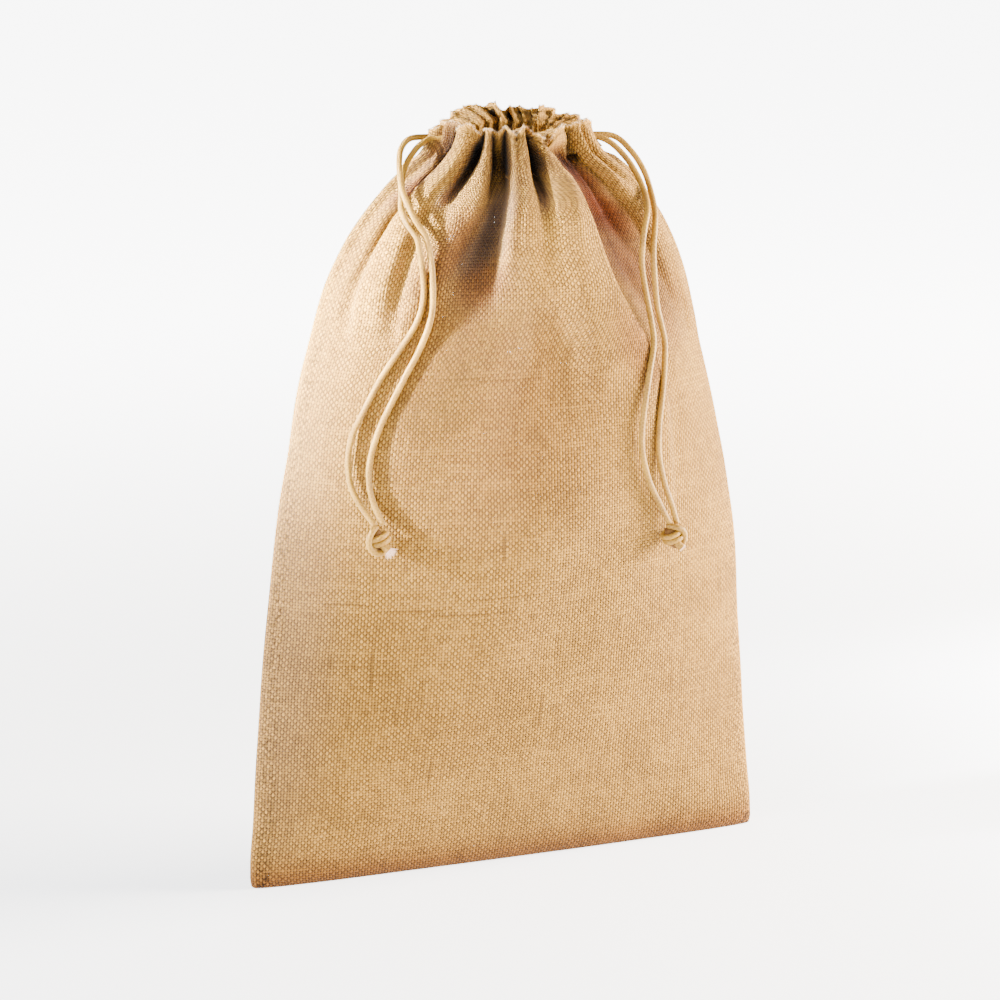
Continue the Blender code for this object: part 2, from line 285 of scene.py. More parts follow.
def tube(name: str, path: np.ndarray, radii: float | np.ndarray, sides: int = 14) -> Object:
    """Sweep a round tube with closed ends along a path.

    Args:
        name: the piece's name.
        path: points of the centreline in millimetres.
        radii: the radius, or one for each point.
        sides: sides of the tube.

    Returns:
        The tube, whose UVs are metres along and turns around it.
    """
    along = np.gradient(path, axis=0)
    along /= np.linalg.norm(along, axis=1, keepdims=True)
    normal = np.cross(along[0], (0.0, 0.0, 1.0) if abs(along[0][2]) < 0.9 else (1.0, 0.0, 0.0))
    normals = []
    for direction in along:
        normal = normal - direction * (normal @ direction)
        normal /= np.linalg.norm(normal)
        normals.append(normal)
    turn = np.linspace(0.0, TURN, sides, endpoint=False)[None, :, None]
    ring = (np.cos(turn) * np.array(normals)[:, None]
            + np.sin(turn) * np.cross(along, normals)[:, None])
    rings = path[:, None] + np.broadcast_to(radii, len(path))[:, None, None] * ring
    first, last = rings.size // 3, rings.size // 3 + 1
    run = distances(path) * MM
    faces, quads = band(len(path), sides)
    uvs = [(run[r], c / sides) for quad in quads for r, c in quad]
    for k in range(sides):
        n = (k + 1) % sides
        faces += [(first, n, k), (last, first - sides + k, first - sides + n)]
        uvs += [(run[0], 0.5)] * 3 + [(run[-1], 0.5)] * 3
    points = np.concatenate([rings.reshape(-1, 3), path[:1], path[-1:]])
    return mesh_piece(name, points, faces, np.array(uvs))


# --------------------------------------------------------------------------- finishes


@dataclass(frozen=True)
class Slub:
    """A dark, thick place along one thread, in millimetres on the flat panel."""

    along: str            # the axis along which the thread runs
    start: float
    end: float
    across: float         # the thread's own place on the other axis
    strength: float
    breadth: float = 0.55 # in threads
    dipped: float = 0.3   # how much of it shows where its thread dips under another

    def mask(self, add: AddNode, threads: bpy_prop_collection, upper: Node) -> Node:
        """Add nodes that give 1 on the slub and 0 elsewhere.

        Args:
            add: adds a node to the material's tree.
            threads: the place on the cloth, counted in threads along X and Y.
            upper: 1 where the upright thread lies on top and 0 where the level one does.

        Returns:
            The mask's last node.
        """
        level = self.along == "X"
        length = arch(add, threads[self.along], 0.5 * (self.start + self.end) / THREAD_PITCH,
                      0.5 * abs(self.end - self.start) / THREAD_PITCH, True)
        width = arch(add, threads["Y" if level else "X"], self.across / THREAD_PITCH,
                     self.breadth, True)
        seen = add("ShaderNodeMapRange", {"Value": upper, "To Min": 1.0 if level else self.dipped,
                                          "To Max": self.dipped if level else 1.0})
        whole = add("ShaderNodeMath", {0: length, 1: width}, operation="MULTIPLY")
        return add("ShaderNodeMath", {0: whole, 1: seen}, operation="MULTIPLY")


SLUBS = tuple(Slub(*row) for row in (
    ("X", 86, 118, 296.5, -0.55), ("X", 108, 150, 294.8, -0.6), ("X", 92, 112, 293.2, -0.45),
    ("X", 28, 62, 173, -0.6), ("X", 58, 98, 169.5, -0.55), ("X", 84, 138, 166.4, -0.5),
    ("X", 104, 150, 174.6, -0.4), ("X", 40, 66, 138, -0.45), ("X", 52, 74, 133, -0.35),
    ("X", 150, 178, 232, -0.3), ("X", 60, 82, 226, -0.3), ("X", 170, 196, 110, -0.3),
    ("Y", 192, 214, 128, -0.35), ("Y", 92, 118, 156, -0.4), ("Y", 120, 150, 60, -0.35),
    ("Y", 250, 262, 205, -0.35), ("Y", 60, 84, 96, -0.35), ("X", 188, 212, 404, -0.55),
    ("X", 197, 228, 391, -0.5), ("X", 204, 238, 377, -0.45), ("X", 210, 240, 362, -0.4),
    ("Y", 372, 410, 206, -0.4), ("Y", 352, 396, 215, -0.45), ("Y", 338, 376, 225, -0.4),
))


@dataclass(frozen=True)
class BurlapFinish:
    """Natural jute burlap, plain woven from coarse single yarns.

    To the eye it is a matt, warm straw cloth with a chequer of over and under threads, the top one
    painted lighter as it catches the light, small gaps between them dark with painted shade, thick
    and thin places along each thread and a reddish cast painted into its shade.
    """

    name: str = "jute_burlap"
    thread_light: str = "BC8D3C"
    thread_mid: str = "A2752B"
    thread_dark: str = "6E4C18"
    # painted shade deep in the gaps between the threads
    gap_shade: str = "140C05"
    # the reddish cast painted into the cloth's shade
    shade_tint: str = "C88048"
    thin_grey: str = "8A7568"     # of thinly spun threads with daylight between them
    roughness: float = 0.92
    relief: float = 0.42          # millimetres from the deepest gap to the top of a thread
    drift: float = 22.0           # per metre, so a thread wanders about every 45 mm
    wander: float = 1.3           # threads by which it does
    thinnest: float = 0.36        # half a thread's width, in threads, where it is spun thin
    thickest: float = 0.50
    sheer_loss: float = -0.13     # of that half width, where the cloth is sheer
    crimp: float = 0.62           # a thread's rise over its neighbour, beside its half thickness
    blotches: float = 24.0        # per metre, so one about every 42 mm
    specks: float = 430.0         # per metre, so one about every 2.3 mm of the doubled seams

    def build(self) -> Material:
        """Make the material, which reads the cloth's UV map and its painted attributes.

        Returns:
            The material.
        """
        made, add = new_material(self.name)
        place = add("ShaderNodeUVMap", uv_map="cloth")
        # Painted shade and painted light, and the reddish cast of painted shade, come in as attributes
        # with the sheerness and the seams.
        sheer, tone, shade_warmth, seam = (add("ShaderNodeAttribute", attribute_name=name).outputs["Fac"]
                                     for name in ("sheer", "tone", "shade_warmth", "seam"))
        noise = add("ShaderNodeTexNoise", {"Vector": place, "Scale": self.drift, "Detail": 3.0},
                    noise_dimensions="2D")
        centred = add("ShaderNodeVectorMath", {0: noise.outputs["Color"], 1: (0.5, 0.5, 0.5)},
                      operation="SUBTRACT")
        shift = add("ShaderNodeVectorMath", {0: centred, "Scale": self.wander}, operation="SCALE")
        scaled = add("ShaderNodeVectorMath", {0: place, "Scale": 1.0 / (THREAD_PITCH * MM)},
                     operation="SCALE")
        threads = add("ShaderNodeVectorMath", {0: scaled, 1: shift}, operation="ADD")
        whole = add("ShaderNodeVectorMath", {0: threads}, operation="FLOOR")
        part = add("ShaderNodeVectorMath", {0: threads}, operation="FRACTION")
        number, across, along = (add("ShaderNodeSeparateXYZ", {0: source}).outputs
                                 for source in (whole, part, threads))
        sets = []
        for axis, other, seed, crimp in (("X", "Y", 11.0, self.crimp), ("Y", "X", 47.0, -self.crimp)):
            seeded = add("ShaderNodeMath", {0: number[axis], 1: seed}, operation="ADD")
            lot = add("ShaderNodeTexWhiteNoise", {"W": seeded}, noise_dimensions="1D")
            drawn = []                # lumps along each thread, and the fibres in it
            for source, stretch, detail, rough in ((number[axis], (3.7, 0.16, 0.0), 3.0, 0.6),
                                                   (along[axis], (9.0, 1.1, 0.0), 2.0, 0.5)):
                pair = add("ShaderNodeCombineXYZ", {"X": source, "Y": along[other]})
                at = add("ShaderNodeVectorMath", {0: pair, 1: stretch}, operation="MULTIPLY")
                drawn.append(add("ShaderNodeTexNoise", {
                    "Vector": at, "Scale": 1.0, "Detail": detail, "Roughness": rough},
                    noise_dimensions="2D"))
            width = add("ShaderNodeMapRange", {
                "Value": drawn[0], "From Min": 0.25, "From Max": 0.75, "To Min": self.thinnest,
                "To Max": self.thickest})
            thin = add("ShaderNodeMath", {0: sheer, 1: self.sheer_loss, 2: width},
                       operation="MULTIPLY_ADD")
            dome = arch(add, across[axis], 0.5, thin)
            lap = add("ShaderNodeMath", {0: number[axis], 1: math.pi}, operation="MULTIPLY")
            odd = add("ShaderNodeMath", {0: lap}, operation="COSINE")
            run = add("ShaderNodeMath", {0: along[other], 1: math.pi}, operation="MULTIPLY")
            wave = add("ShaderNodeMath", {0: run}, operation="SINE")
            over = add("ShaderNodeMath", {0: odd, 1: wave}, operation="MULTIPLY")
            rise = add("ShaderNodeMath", {0: over, 1: crimp, 2: dome}, operation="MULTIPLY_ADD")
            sets.append((rise, dome, lot, *drawn))
        (rise, dome, *upright), (level_rise, level_dome, *level) = sets
        upper = add("ShaderNodeMath", {0: rise, 1: level_rise}, operation="GREATER_THAN")
        height = add("ShaderNodeMath", {0: rise, 1: level_rise}, operation="MAXIMUM")
        cover = add("ShaderNodeMath", {0: dome, 1: level_dome}, operation="MAXIMUM")
        lot, lumps, fibre = (
            add("ShaderNodeMix", {"Factor": upper, "A": under, "B": over}, data_type="FLOAT")
            for under, over in zip(level, upright))
        blotch = add("ShaderNodeTexNoise", {"Vector": place, "Scale": self.blotches, "Detail": 4.0,
                                            "Roughness": 0.6}, noise_dimensions="2D")
        cell = add("ShaderNodeTexWhiteNoise", {"Vector": whole}, noise_dimensions="2D")
        # The thread on top is painted lighter, as it catches the light; the others are the yarn's own
        # marks.
        marks = [(lot, 0.07), (lumps, 0.34), (cell, 0.12), (upper, 0.22), (blotch, 0.26)]
        marks += [(slub.mask(add, along, upper), slub.strength) for slub in SLUBS]
        shade = -0.10
        for source, share in marks:
            shade = add("ShaderNodeMath", {0: source, 1: share, 2: shade}, operation="MULTIPLY_ADD")
        ramp = add("ShaderNodeValToRGB", {"Fac": shade})
        stops = ramp.color_ramp.elements
        stops[0].position, stops[1].position = 0.25, 0.78
        stops[0].color, stops[1].color = linear(self.thread_dark), linear(self.thread_light)
        stops.new(0.5).color = linear(self.thread_mid)
        # Painted shade in the gaps: a thread is darker where it lies low between the others.
        depth = add("ShaderNodeMapRange", {"Value": height, "From Min": -0.05, "From Max": 1.1})
        sunk = add("ShaderNodeMix", {"Factor": depth, "A": linear(self.gap_shade),
                                     "B": ramp.outputs["Color"]}, data_type="RGBA")
        greyness = add("ShaderNodeMath", {0: sheer, 1: 0.7}, operation="MULTIPLY")
        greyed = add("ShaderNodeMix", {"Factor": greyness, "A": sunk.outputs["Result"],
                                       "B": linear(self.thin_grey)}, data_type="RGBA")
        pairs = add("ShaderNodeTexNoise", {"Vector": place, "Scale": self.specks, "Detail": 2.0},
                    noise_dimensions="2D")
        speck = add("ShaderNodeMapRange", {"Value": pairs, "From Min": 0.42, "From Max": 0.62,
                                           "To Min": 0.20, "To Max": -0.45})
        speckled = add("ShaderNodeMath", {0: speck, 1: seam, 2: tone}, operation="MULTIPLY_ADD")
        streak = add("ShaderNodeMapRange", {"Value": fibre, "From Min": 0.3, "From Max": 0.7,
                                            "To Min": 0.86, "To Max": 1.1})
        lit = add("ShaderNodeMath", {0: streak, 1: speckled}, operation="MULTIPLY")
        toned = add("ShaderNodeVectorMath", {0: greyed.outputs["Result"], "Scale": lit},
                    operation="SCALE")
        # The reddish cast of painted shade.
        warm = add("ShaderNodeMix", {"Factor": shade_warmth, "A": toned, "B": linear(self.shade_tint)},
                   data_type="RGBA", blend_type="MULTIPLY")
        solid = add("ShaderNodeMapRange", {"Value": cover, "From Min": -0.02, "From Max": 0.16})
        bump = add("ShaderNodeBump", {"Height": height, "Distance": self.relief * MM,
                                      "Strength": 0.9})
        # Gloss follows the painted shade and light: less of it where the cloth is painted darker.
        gloss = add("ShaderNodeMapRange", {"Value": tone, "From Min": 0.3, "To Min": 0.07,
                                           "To Max": 0.14})
        surface = add("ShaderNodeBsdfPrincipled", {
            "Base Color": warm.outputs["Result"], "Roughness": self.roughness,
            "Specular IOR Level": gloss, "Sheen Weight": 0.03, "Sheen Roughness": 0.5,
            "Alpha": solid, "Normal": bump})
        add("ShaderNodeOutputMaterial", {"Surface": surface})
        return made


@dataclass(frozen=True)
class CordFinish:
    """Waxed cotton cord, braided round and tight.

    To the eye it is a pale straw cord, smooth and slightly satin, with a very fine plait.
    """

    name: str = "waxed_cord"
    light: str = "A87E28"
    dark: str = "54340D"
    plait: float = 2.2            # millimetres along the cord for one crossing of its plait
    crossings: float = 4.0        # of the plait, round the cord

    def build(self) -> Material:
        """Make the material, which reads the cord's own UVs: metres along, and turns around.

        Returns:
            The material.
        """
        made, add = new_material(self.name)
        place = add("ShaderNodeSeparateXYZ", {0: add("ShaderNodeUVMap", uv_map="cloth")}).outputs
        along = add("ShaderNodeMath", {0: place["X"], 1: TURN / (self.plait * MM)},
                    operation="MULTIPLY")
        angles = [add("ShaderNodeMath", {0: place["Y"], 1: turns * TURN, 2: along},
                      operation="MULTIPLY_ADD") for turns in (self.crossings, -self.crossings)]
        waves = [add("ShaderNodeMath", {0: angle}, operation="SINE") for angle in angles]
        plait = add("ShaderNodeMath", {0: waves[0], 1: waves[1]}, operation="MAXIMUM")
        blotch = add("ShaderNodeTexNoise", {
            "Vector": add("ShaderNodeTexCoord").outputs["Object"], "Scale": 90.0, "Detail": 3.0})
        mixed = add("ShaderNodeMath", {0: plait, 1: 0.16, 2: blotch}, operation="MULTIPLY_ADD")
        colour = add("ShaderNodeMix", {"Factor": mixed, "A": linear(self.dark),
                                       "B": linear(self.light)}, data_type="RGBA")
        bump = add("ShaderNodeBump", {"Height": plait, "Distance": 0.08 * MM, "Strength": 0.6})
        surface = add("ShaderNodeBsdfPrincipled", {
            "Base Color": colour.outputs["Result"], "Roughness": 0.5, "Specular IOR Level": 0.22,
            "Normal": bump})
        add("ShaderNodeOutputMaterial", {"Surface": surface})
        return made


@dataclass(frozen=True)
class PlainFinish:
    """A finish of one colour with a slight mottle, for what is too thin or too plain to pattern."""

    name: str
    light: str
    dark: str
    roughness: float = 0.9
    mottle: float = 400.0         # per metre, so every 2.5 mm

    def build(self) -> Material:
        """Make the material, or find it where another piece has it already.

        Returns:
            The material.
        """
        if self.name in bpy.data.materials:
            return bpy.data.materials[self.name]
        made, add = new_material(self.name)
        noise = add("ShaderNodeTexNoise", {"Vector": add("ShaderNodeTexCoord").outputs["Object"],
                                           "Scale": self.mottle, "Detail": 2.0})
        colour = add("ShaderNodeMix", {"Factor": noise, "A": linear(self.dark),
                                       "B": linear(self.light)}, data_type="RGBA")
        surface = add("ShaderNodeBsdfPrincipled", {
            "Base Color": colour.outputs["Result"], "Roughness": self.roughness,
            "Specular IOR Level": 0.2})
        add("ShaderNodeOutputMaterial", {"Surface": surface})
        return made


# --------------------------------------------------------------------------- the cloth's form


@dataclass(frozen=True)
class Section:
    """One level of the plain sack, midway between its folds' crests and troughs."""

    height: float
    half_width: float
    half_depth: float
    roundness: float      # the lens's power: 0.5 is an ellipse, less is boxier
    shift: float          # towards +X


SECTIONS = tuple(Section(*row) for row in (
    (0, 148.4, 8, 0.22, 0), (3, 149, 10.5, 0.24, 0), (12, 149, 14, 0.34, 0),
    (35, 147.3, 21.5, 0.55, 0), (75, 144.1, 32.5, 0.68, -0.5), (120, 140.7, 42.2, 0.72, -0.5),
    (165, 136.8, 49.8, 0.74, -0.5), (210, 130.3, 54.8, 0.72, -0.5), (250, 123, 56, 0.68, -0.5),
    (280, 116, 55, 0.66, -0.5), (305, 108.3, 52.3, 0.63, 0), (325, 100, 49.5, 0.6, 0),
    (342, 90.6, 48.1, 0.57, 0.5), (357, 81.1, 46.6, 0.54, 1), (370, 71.7, 45.2, 0.52, 1.5),
    (380, 63.5, 43, 0.5, 2), (389, 54.5, 39, 0.5, 2), (397, 47.5, 34, 0.5, 2),
    (406, 43.8, 30, 0.5, 2), (413, 42.5, 28.5, 0.5, 2),
))
MOUTH = SECTIONS[-1].height
STITCH_LEVEL = MOUTH - HEM


@dataclass(frozen=True)
class FoldLine:
    """A crest or a trough of the gathered cloth, followed down from the mouth.

    Each stop is a height, the girth at which the line lies there, and how far the cloth stands
    out from the plain sack there.
    """

    name: str
    breadth: float        # how broad and flat it is, beside its neighbours
    stops: tuple[Point, ...]

    def at(self, height: float) -> tuple[float, float]:
        """Read the line's girth and its rise at a height."""
        heights, girths, rises = zip(*reversed(self.stops))
        return eased(height, heights, girths), eased(height, heights, rises)


FRONT_FOLDS = tuple(FoldLine(*row) for row in (
    ("left_seam", 1.4, ((413, 0, 3.5), (400, 0, 4.3), (380, 0, 6), (357, 0, 6.5), (342, 0, 5.4),
        (325, 0, 3.3), (305, 0, 0.9), (280, 0, -1), (250, 0, -1), (210, 0, 0))),
    ("seam_gap", 0.8, ((413, 12, -3), (400, 9, -3), (388, 6, -1), (372, 4, 2), (350, 4, 3),
        (300, 4, 0))),
    ("left_pleat", 1.2, ((413, 27, -4), (402, 21, -5), (392, 15, -3), (380, 10, 0), (366, 9, 2),
        (345, 9, 2), (300, 12, 0))),
    ("left_recess", 1.2, ((413, 42, -5), (405, 40, -7), (399, 36, -8), (392, 31, -9), (385, 26, -8),
        (375, 22, -7), (360, 19, -5), (340, 20, -3), (300, 25, -0.5), (270, 26, 0))),
    ("left_ridge", 1.9, ((413, 60, 5), (406, 58, 7), (399, 53, 8), (391, 47, 8), (382, 41, 6.5),
        (370, 37, 5.5), (350, 34, 5), (325, 33, 3), (285, 35, 0))),
    ("left_hollow", 1, ((413, 72, 3), (405, 68, 4.5), (395, 60, 4.5), (384, 56, 3), (375, 54, 1.2),
        (365, 52, -0.8), (345, 53, -2.4), (325, 55, -2.2), (300, 57, -0.8), (275, 58, 0))),
    ("first_pocket", 0.8, ((413, 80, -1), (409, 78, -5), (404, 74, -12), (398, 70, -15), (391, 66, -15),
        (384, 64, -8), (376, 63, -2.5), (366, 62, 0.5), (348, 61, 1.2), (320, 61, 0.6), (290, 61, 0))),
    ("first_wall", 0.7, ((413, 84, -4), (409, 83, -9), (404, 81, -14), (398, 78, -16), (391, 74, -16),
        (384, 71, -9), (376, 69, -2.5), (366, 67, 1.2), (348, 66, 2), (320, 66, 1), (290, 66, 0))),
    ("first_pleat", 1.2, ((413, 91, 4), (399, 89, 5), (388, 88, 4.5), (377, 88, 4), (366, 84, 3.4),
        (353, 77, 3), (335, 74, 2), (300, 72, 0))),
    ("left_slit", 0.7, ((413, 97, -4), (408, 98, -11), (398, 99, -15), (388, 101, -14), (378, 103, -8),
        (367, 99, -5), (354, 93, -4.2), (342, 91, -3), (326, 89, -1), (305, 88, 0))),
    ("sunk_pleat", 1, ((413, 108, -1), (408, 109, -6), (398, 110, -10), (386, 111, -11),
        (376, 112, -8.5), (362, 109, -8), (350, 105, -7), (340, 103, -4.5), (325, 101, -1.8),
        (300, 100, 0))),
    ("right_slit", 0.7, ((413, 116, -4), (408, 117, -11), (398, 118, -15), (386, 119, -13),
        (376, 119, -9.5), (362, 119.5, -9.5), (350, 119, -8), (340, 118, -5), (325, 116, -1.8),
        (300, 113, 0))),
    ("middle_pleat", 1.1, ((413, 124, 4), (400, 125, 5), (382, 125, 5), (368, 126, 5.2), (355, 127, 4.8),
        (344, 128, 3.2), (328, 129, 1.4), (300, 130, 0))),
    ("rim_dip", 0.8, ((413, 131, 0), (409, 130, 3), (404, 130, 4.4), (380, 130, 5.1), (360, 132, 4.9),
        (345, 134, 3.4), (325, 136, 1.6), (290, 138, 0))),
    ("right_pleat", 1.2, ((413, 138, 3), (400, 136, 4.5), (385, 135, 4.6), (370, 138, 4.6),
        (355, 141, 4.2), (338, 143, 2.8), (300, 145, 0.5), (280, 145, 0))),
    ("second_pocket", 0.8, ((413, 144, -4), (409, 146, -12), (401, 149, -15), (392, 150, -16),
        (384, 150, -7), (376, 150, -1), (366, 151, 2), (350, 152, 3), (330, 152, 2.4), (290, 152, 0))),
    ("second_wall", 0.6, ((413, 151, -4), (409, 154, -12), (402, 157, -15), (392, 158, -15),
        (384, 157, -6.5), (376, 156, -0.5), (366, 157, 2.8), (350, 159, 3.8), (330, 160, 3),
        (290, 160, 0))),
    ("long_ridge", 1.4, ((413, 158, 5), (407, 164, 6.5), (400, 167, 7.5), (391, 169, 7.5),
        (377, 172, 7.5), (361, 178, 7.5), (338, 185, 7), (317, 193, 6), (300, 201, 5.5), (280, 208, 4.5),
        (255, 214, 3.5), (225, 219, 2.5), (190, 222, 1.2), (150, 224, 0))),
    ("ridge_edge", 1, ((413, 165, 5), (407, 175, 6), (400, 181, 7), (392, 184, 7), (377, 187, 7),
        (361, 192, 7), (338, 199, 6.5), (317, 208, 5.5), (300, 217, 4.5), (280, 225, 3.5), (255, 230, 3),
        (225, 232, 2), (190, 233, 1), (150, 234, 0))),
    ("ridge_foot", 0.8, ((413, 173, -5), (405, 182, -9), (397, 189, -11), (388, 192, -12),
        (376, 194, -12), (361, 198, -11.5), (346, 202, -10), (328, 209, -8.5), (312, 217, -6),
        (300, 224, -3), (285, 231, -0.5), (262, 238, 0.6), (235, 240, 0))),
    ("ruffle_gap", 0.9, ((413, 186, -6), (405, 194, -9), (397, 202, -10), (388, 206, -11),
        (376, 211, -12), (362, 216, -11.5), (346, 221, -10), (328, 228, -8), (312, 234, -5.5),
        (292, 240, -2), (262, 244, 0))),
    ("back_ruffle", 1.1, ((413, 202, 1), (407, 206, -2), (402, 210, -8), (395, 216, -12),
        (386, 221, -13), (372, 227, -12.5), (355, 232, -11), (338, 237, -7), (318, 242, -4.5),
        (290, 247, -1), (270, 249, 0))),
    ("right_gap", 0.8, ((413, 226, -7), (404, 232, -8), (396, 238, -9), (385, 245, -9), (372, 250, -7),
        (355, 253, -4), (335, 256, -2.5), (300, 259, 0))),
    ("right_tuck", 0.9, ((413, 236, 1.5), (403, 241, 1.5), (392, 247, 1.5), (380, 254, 1.5),
        (366, 260, 3), (345, 265, 3.6), (320, 268, 2.4), (290, 270, 0))),
    ("tuck_slit", 0.8, ((413, 245, -3.5), (403, 250, -3), (392, 256, -1.5), (380, 262, 1.2),
        (366, 266, 4.4), (345, 270, 5), (320, 273, 3.8), (280, 276, 0))),
    ("right_ruffle", 1.3, ((413, 255, 2), (403, 260, 3), (392, 265, 4), (378, 269, 5), (360, 272, 5.5),
        (344, 275, 5.5), (325, 278, 4.5), (305, 281, 2.5), (280, 283, 0.5), (255, 284, 0))),
    ("right_crease", 0.8, ((413, 269, -4), (402, 276, -3), (390, 283, -1), (380, 287, 1), (366, 290, 3),
        (340, 290, 3), (300, 290, 0))),
))

BACK_SEED = 5
BACK_FOLDS = (               # girth, how far the back's cloth stands out at the stitching, breadth
    (311, -3, 1), (320, 2, 0.9), (331, -7, 1.2), (342, 3, 0.7), (353, -11, 1.4), (364, 2, 0.6),
    (374, -13, 1.3), (383, 3, 0.6), (391, -9, 1.1), (400, 2.5, 0.7), (409, -11, 1.3), (418, 1, 0.6),
    (428, -13, 1.6), (439, 5, 1), (454, -13, 1.6), (470, 4, 0.7), (486, -7, 1.4), (500, -2, 0.8),
    (512, -6, 1.2), (526, -1, 0.8), (538, -6, 1.2), (550, 0, 0.9), (562, -5, 1.2), (574, 1, 1),
    (586, -3, 1),
)
RIM_DROPS = (                # girth, and how far the rim lies there below the plain mouth
    (0, 5.5), (10, 2), (24, -0.7), (36, -0.8), (44, 0.4), (51, 1.2), (61, -2.6), (68, -2),
    (74, 1.4), (79, 2.6), (84, 1.2), (90, -0.9), (96, 0.6), (103, 1.6), (109, 0.6), (117, -1.4),
    (121, -0.4), (128, 2.6), (133, 1.6), (138, -1.8), (144, -1.4), (150, -0.6), (156, 2),
    (164, 4.2), (176, 6.6), (188, 8.5), (196, 9), (202, 5), (208, 1.2), (215, 0.6), (224, 3),
    (236, 0.6), (245, 2.4), (255, 0.2), (268, 2.2), (279, 2), (289, 4.2), (297, 6.4), (304, 5.4),
    (311, 3.6), (320, 4), (331, 3.4), (342, 4.6), (353, 3), (364, 2.6), (374, -0.9), (383, 2.1),
    (391, 2.4), (400, 3.6), (409, 0.6), (418, 2), (428, -0.4), (439, 4.8), (454, -3), (463, -1),
    (470, 1.8), (486, -1.5), (500, -0.6), (512, -1), (526, 1), (538, 2), (550, 4.8), (562, 4.4),
    (574, 6.6), (586, 6.6), (600, 5.5),
)
OVERLAPS = (                 # girth, half width and shift along the rim where a pleat tucks behind
    (201.0, 12.0, -7.0),
)
RIPPLE_SEED = 23
# Round the sack under the hem: how many puckers, how deep they are and how far down they reach.
PUCKERS = ((41, 0.35, 26.0), (67, 0.28, 18.0), (29, 0.45, 40.0), (97, 0.16, 14.0))
# Over the body: how many slow waves, how deep, and their radians for each millimetre of height.
SLOW_WAVES = ((3, 1.1, 0.021), (5, 0.8, 0.034), (8, 0.5, 0.047), (13, 0.25, 0.08))


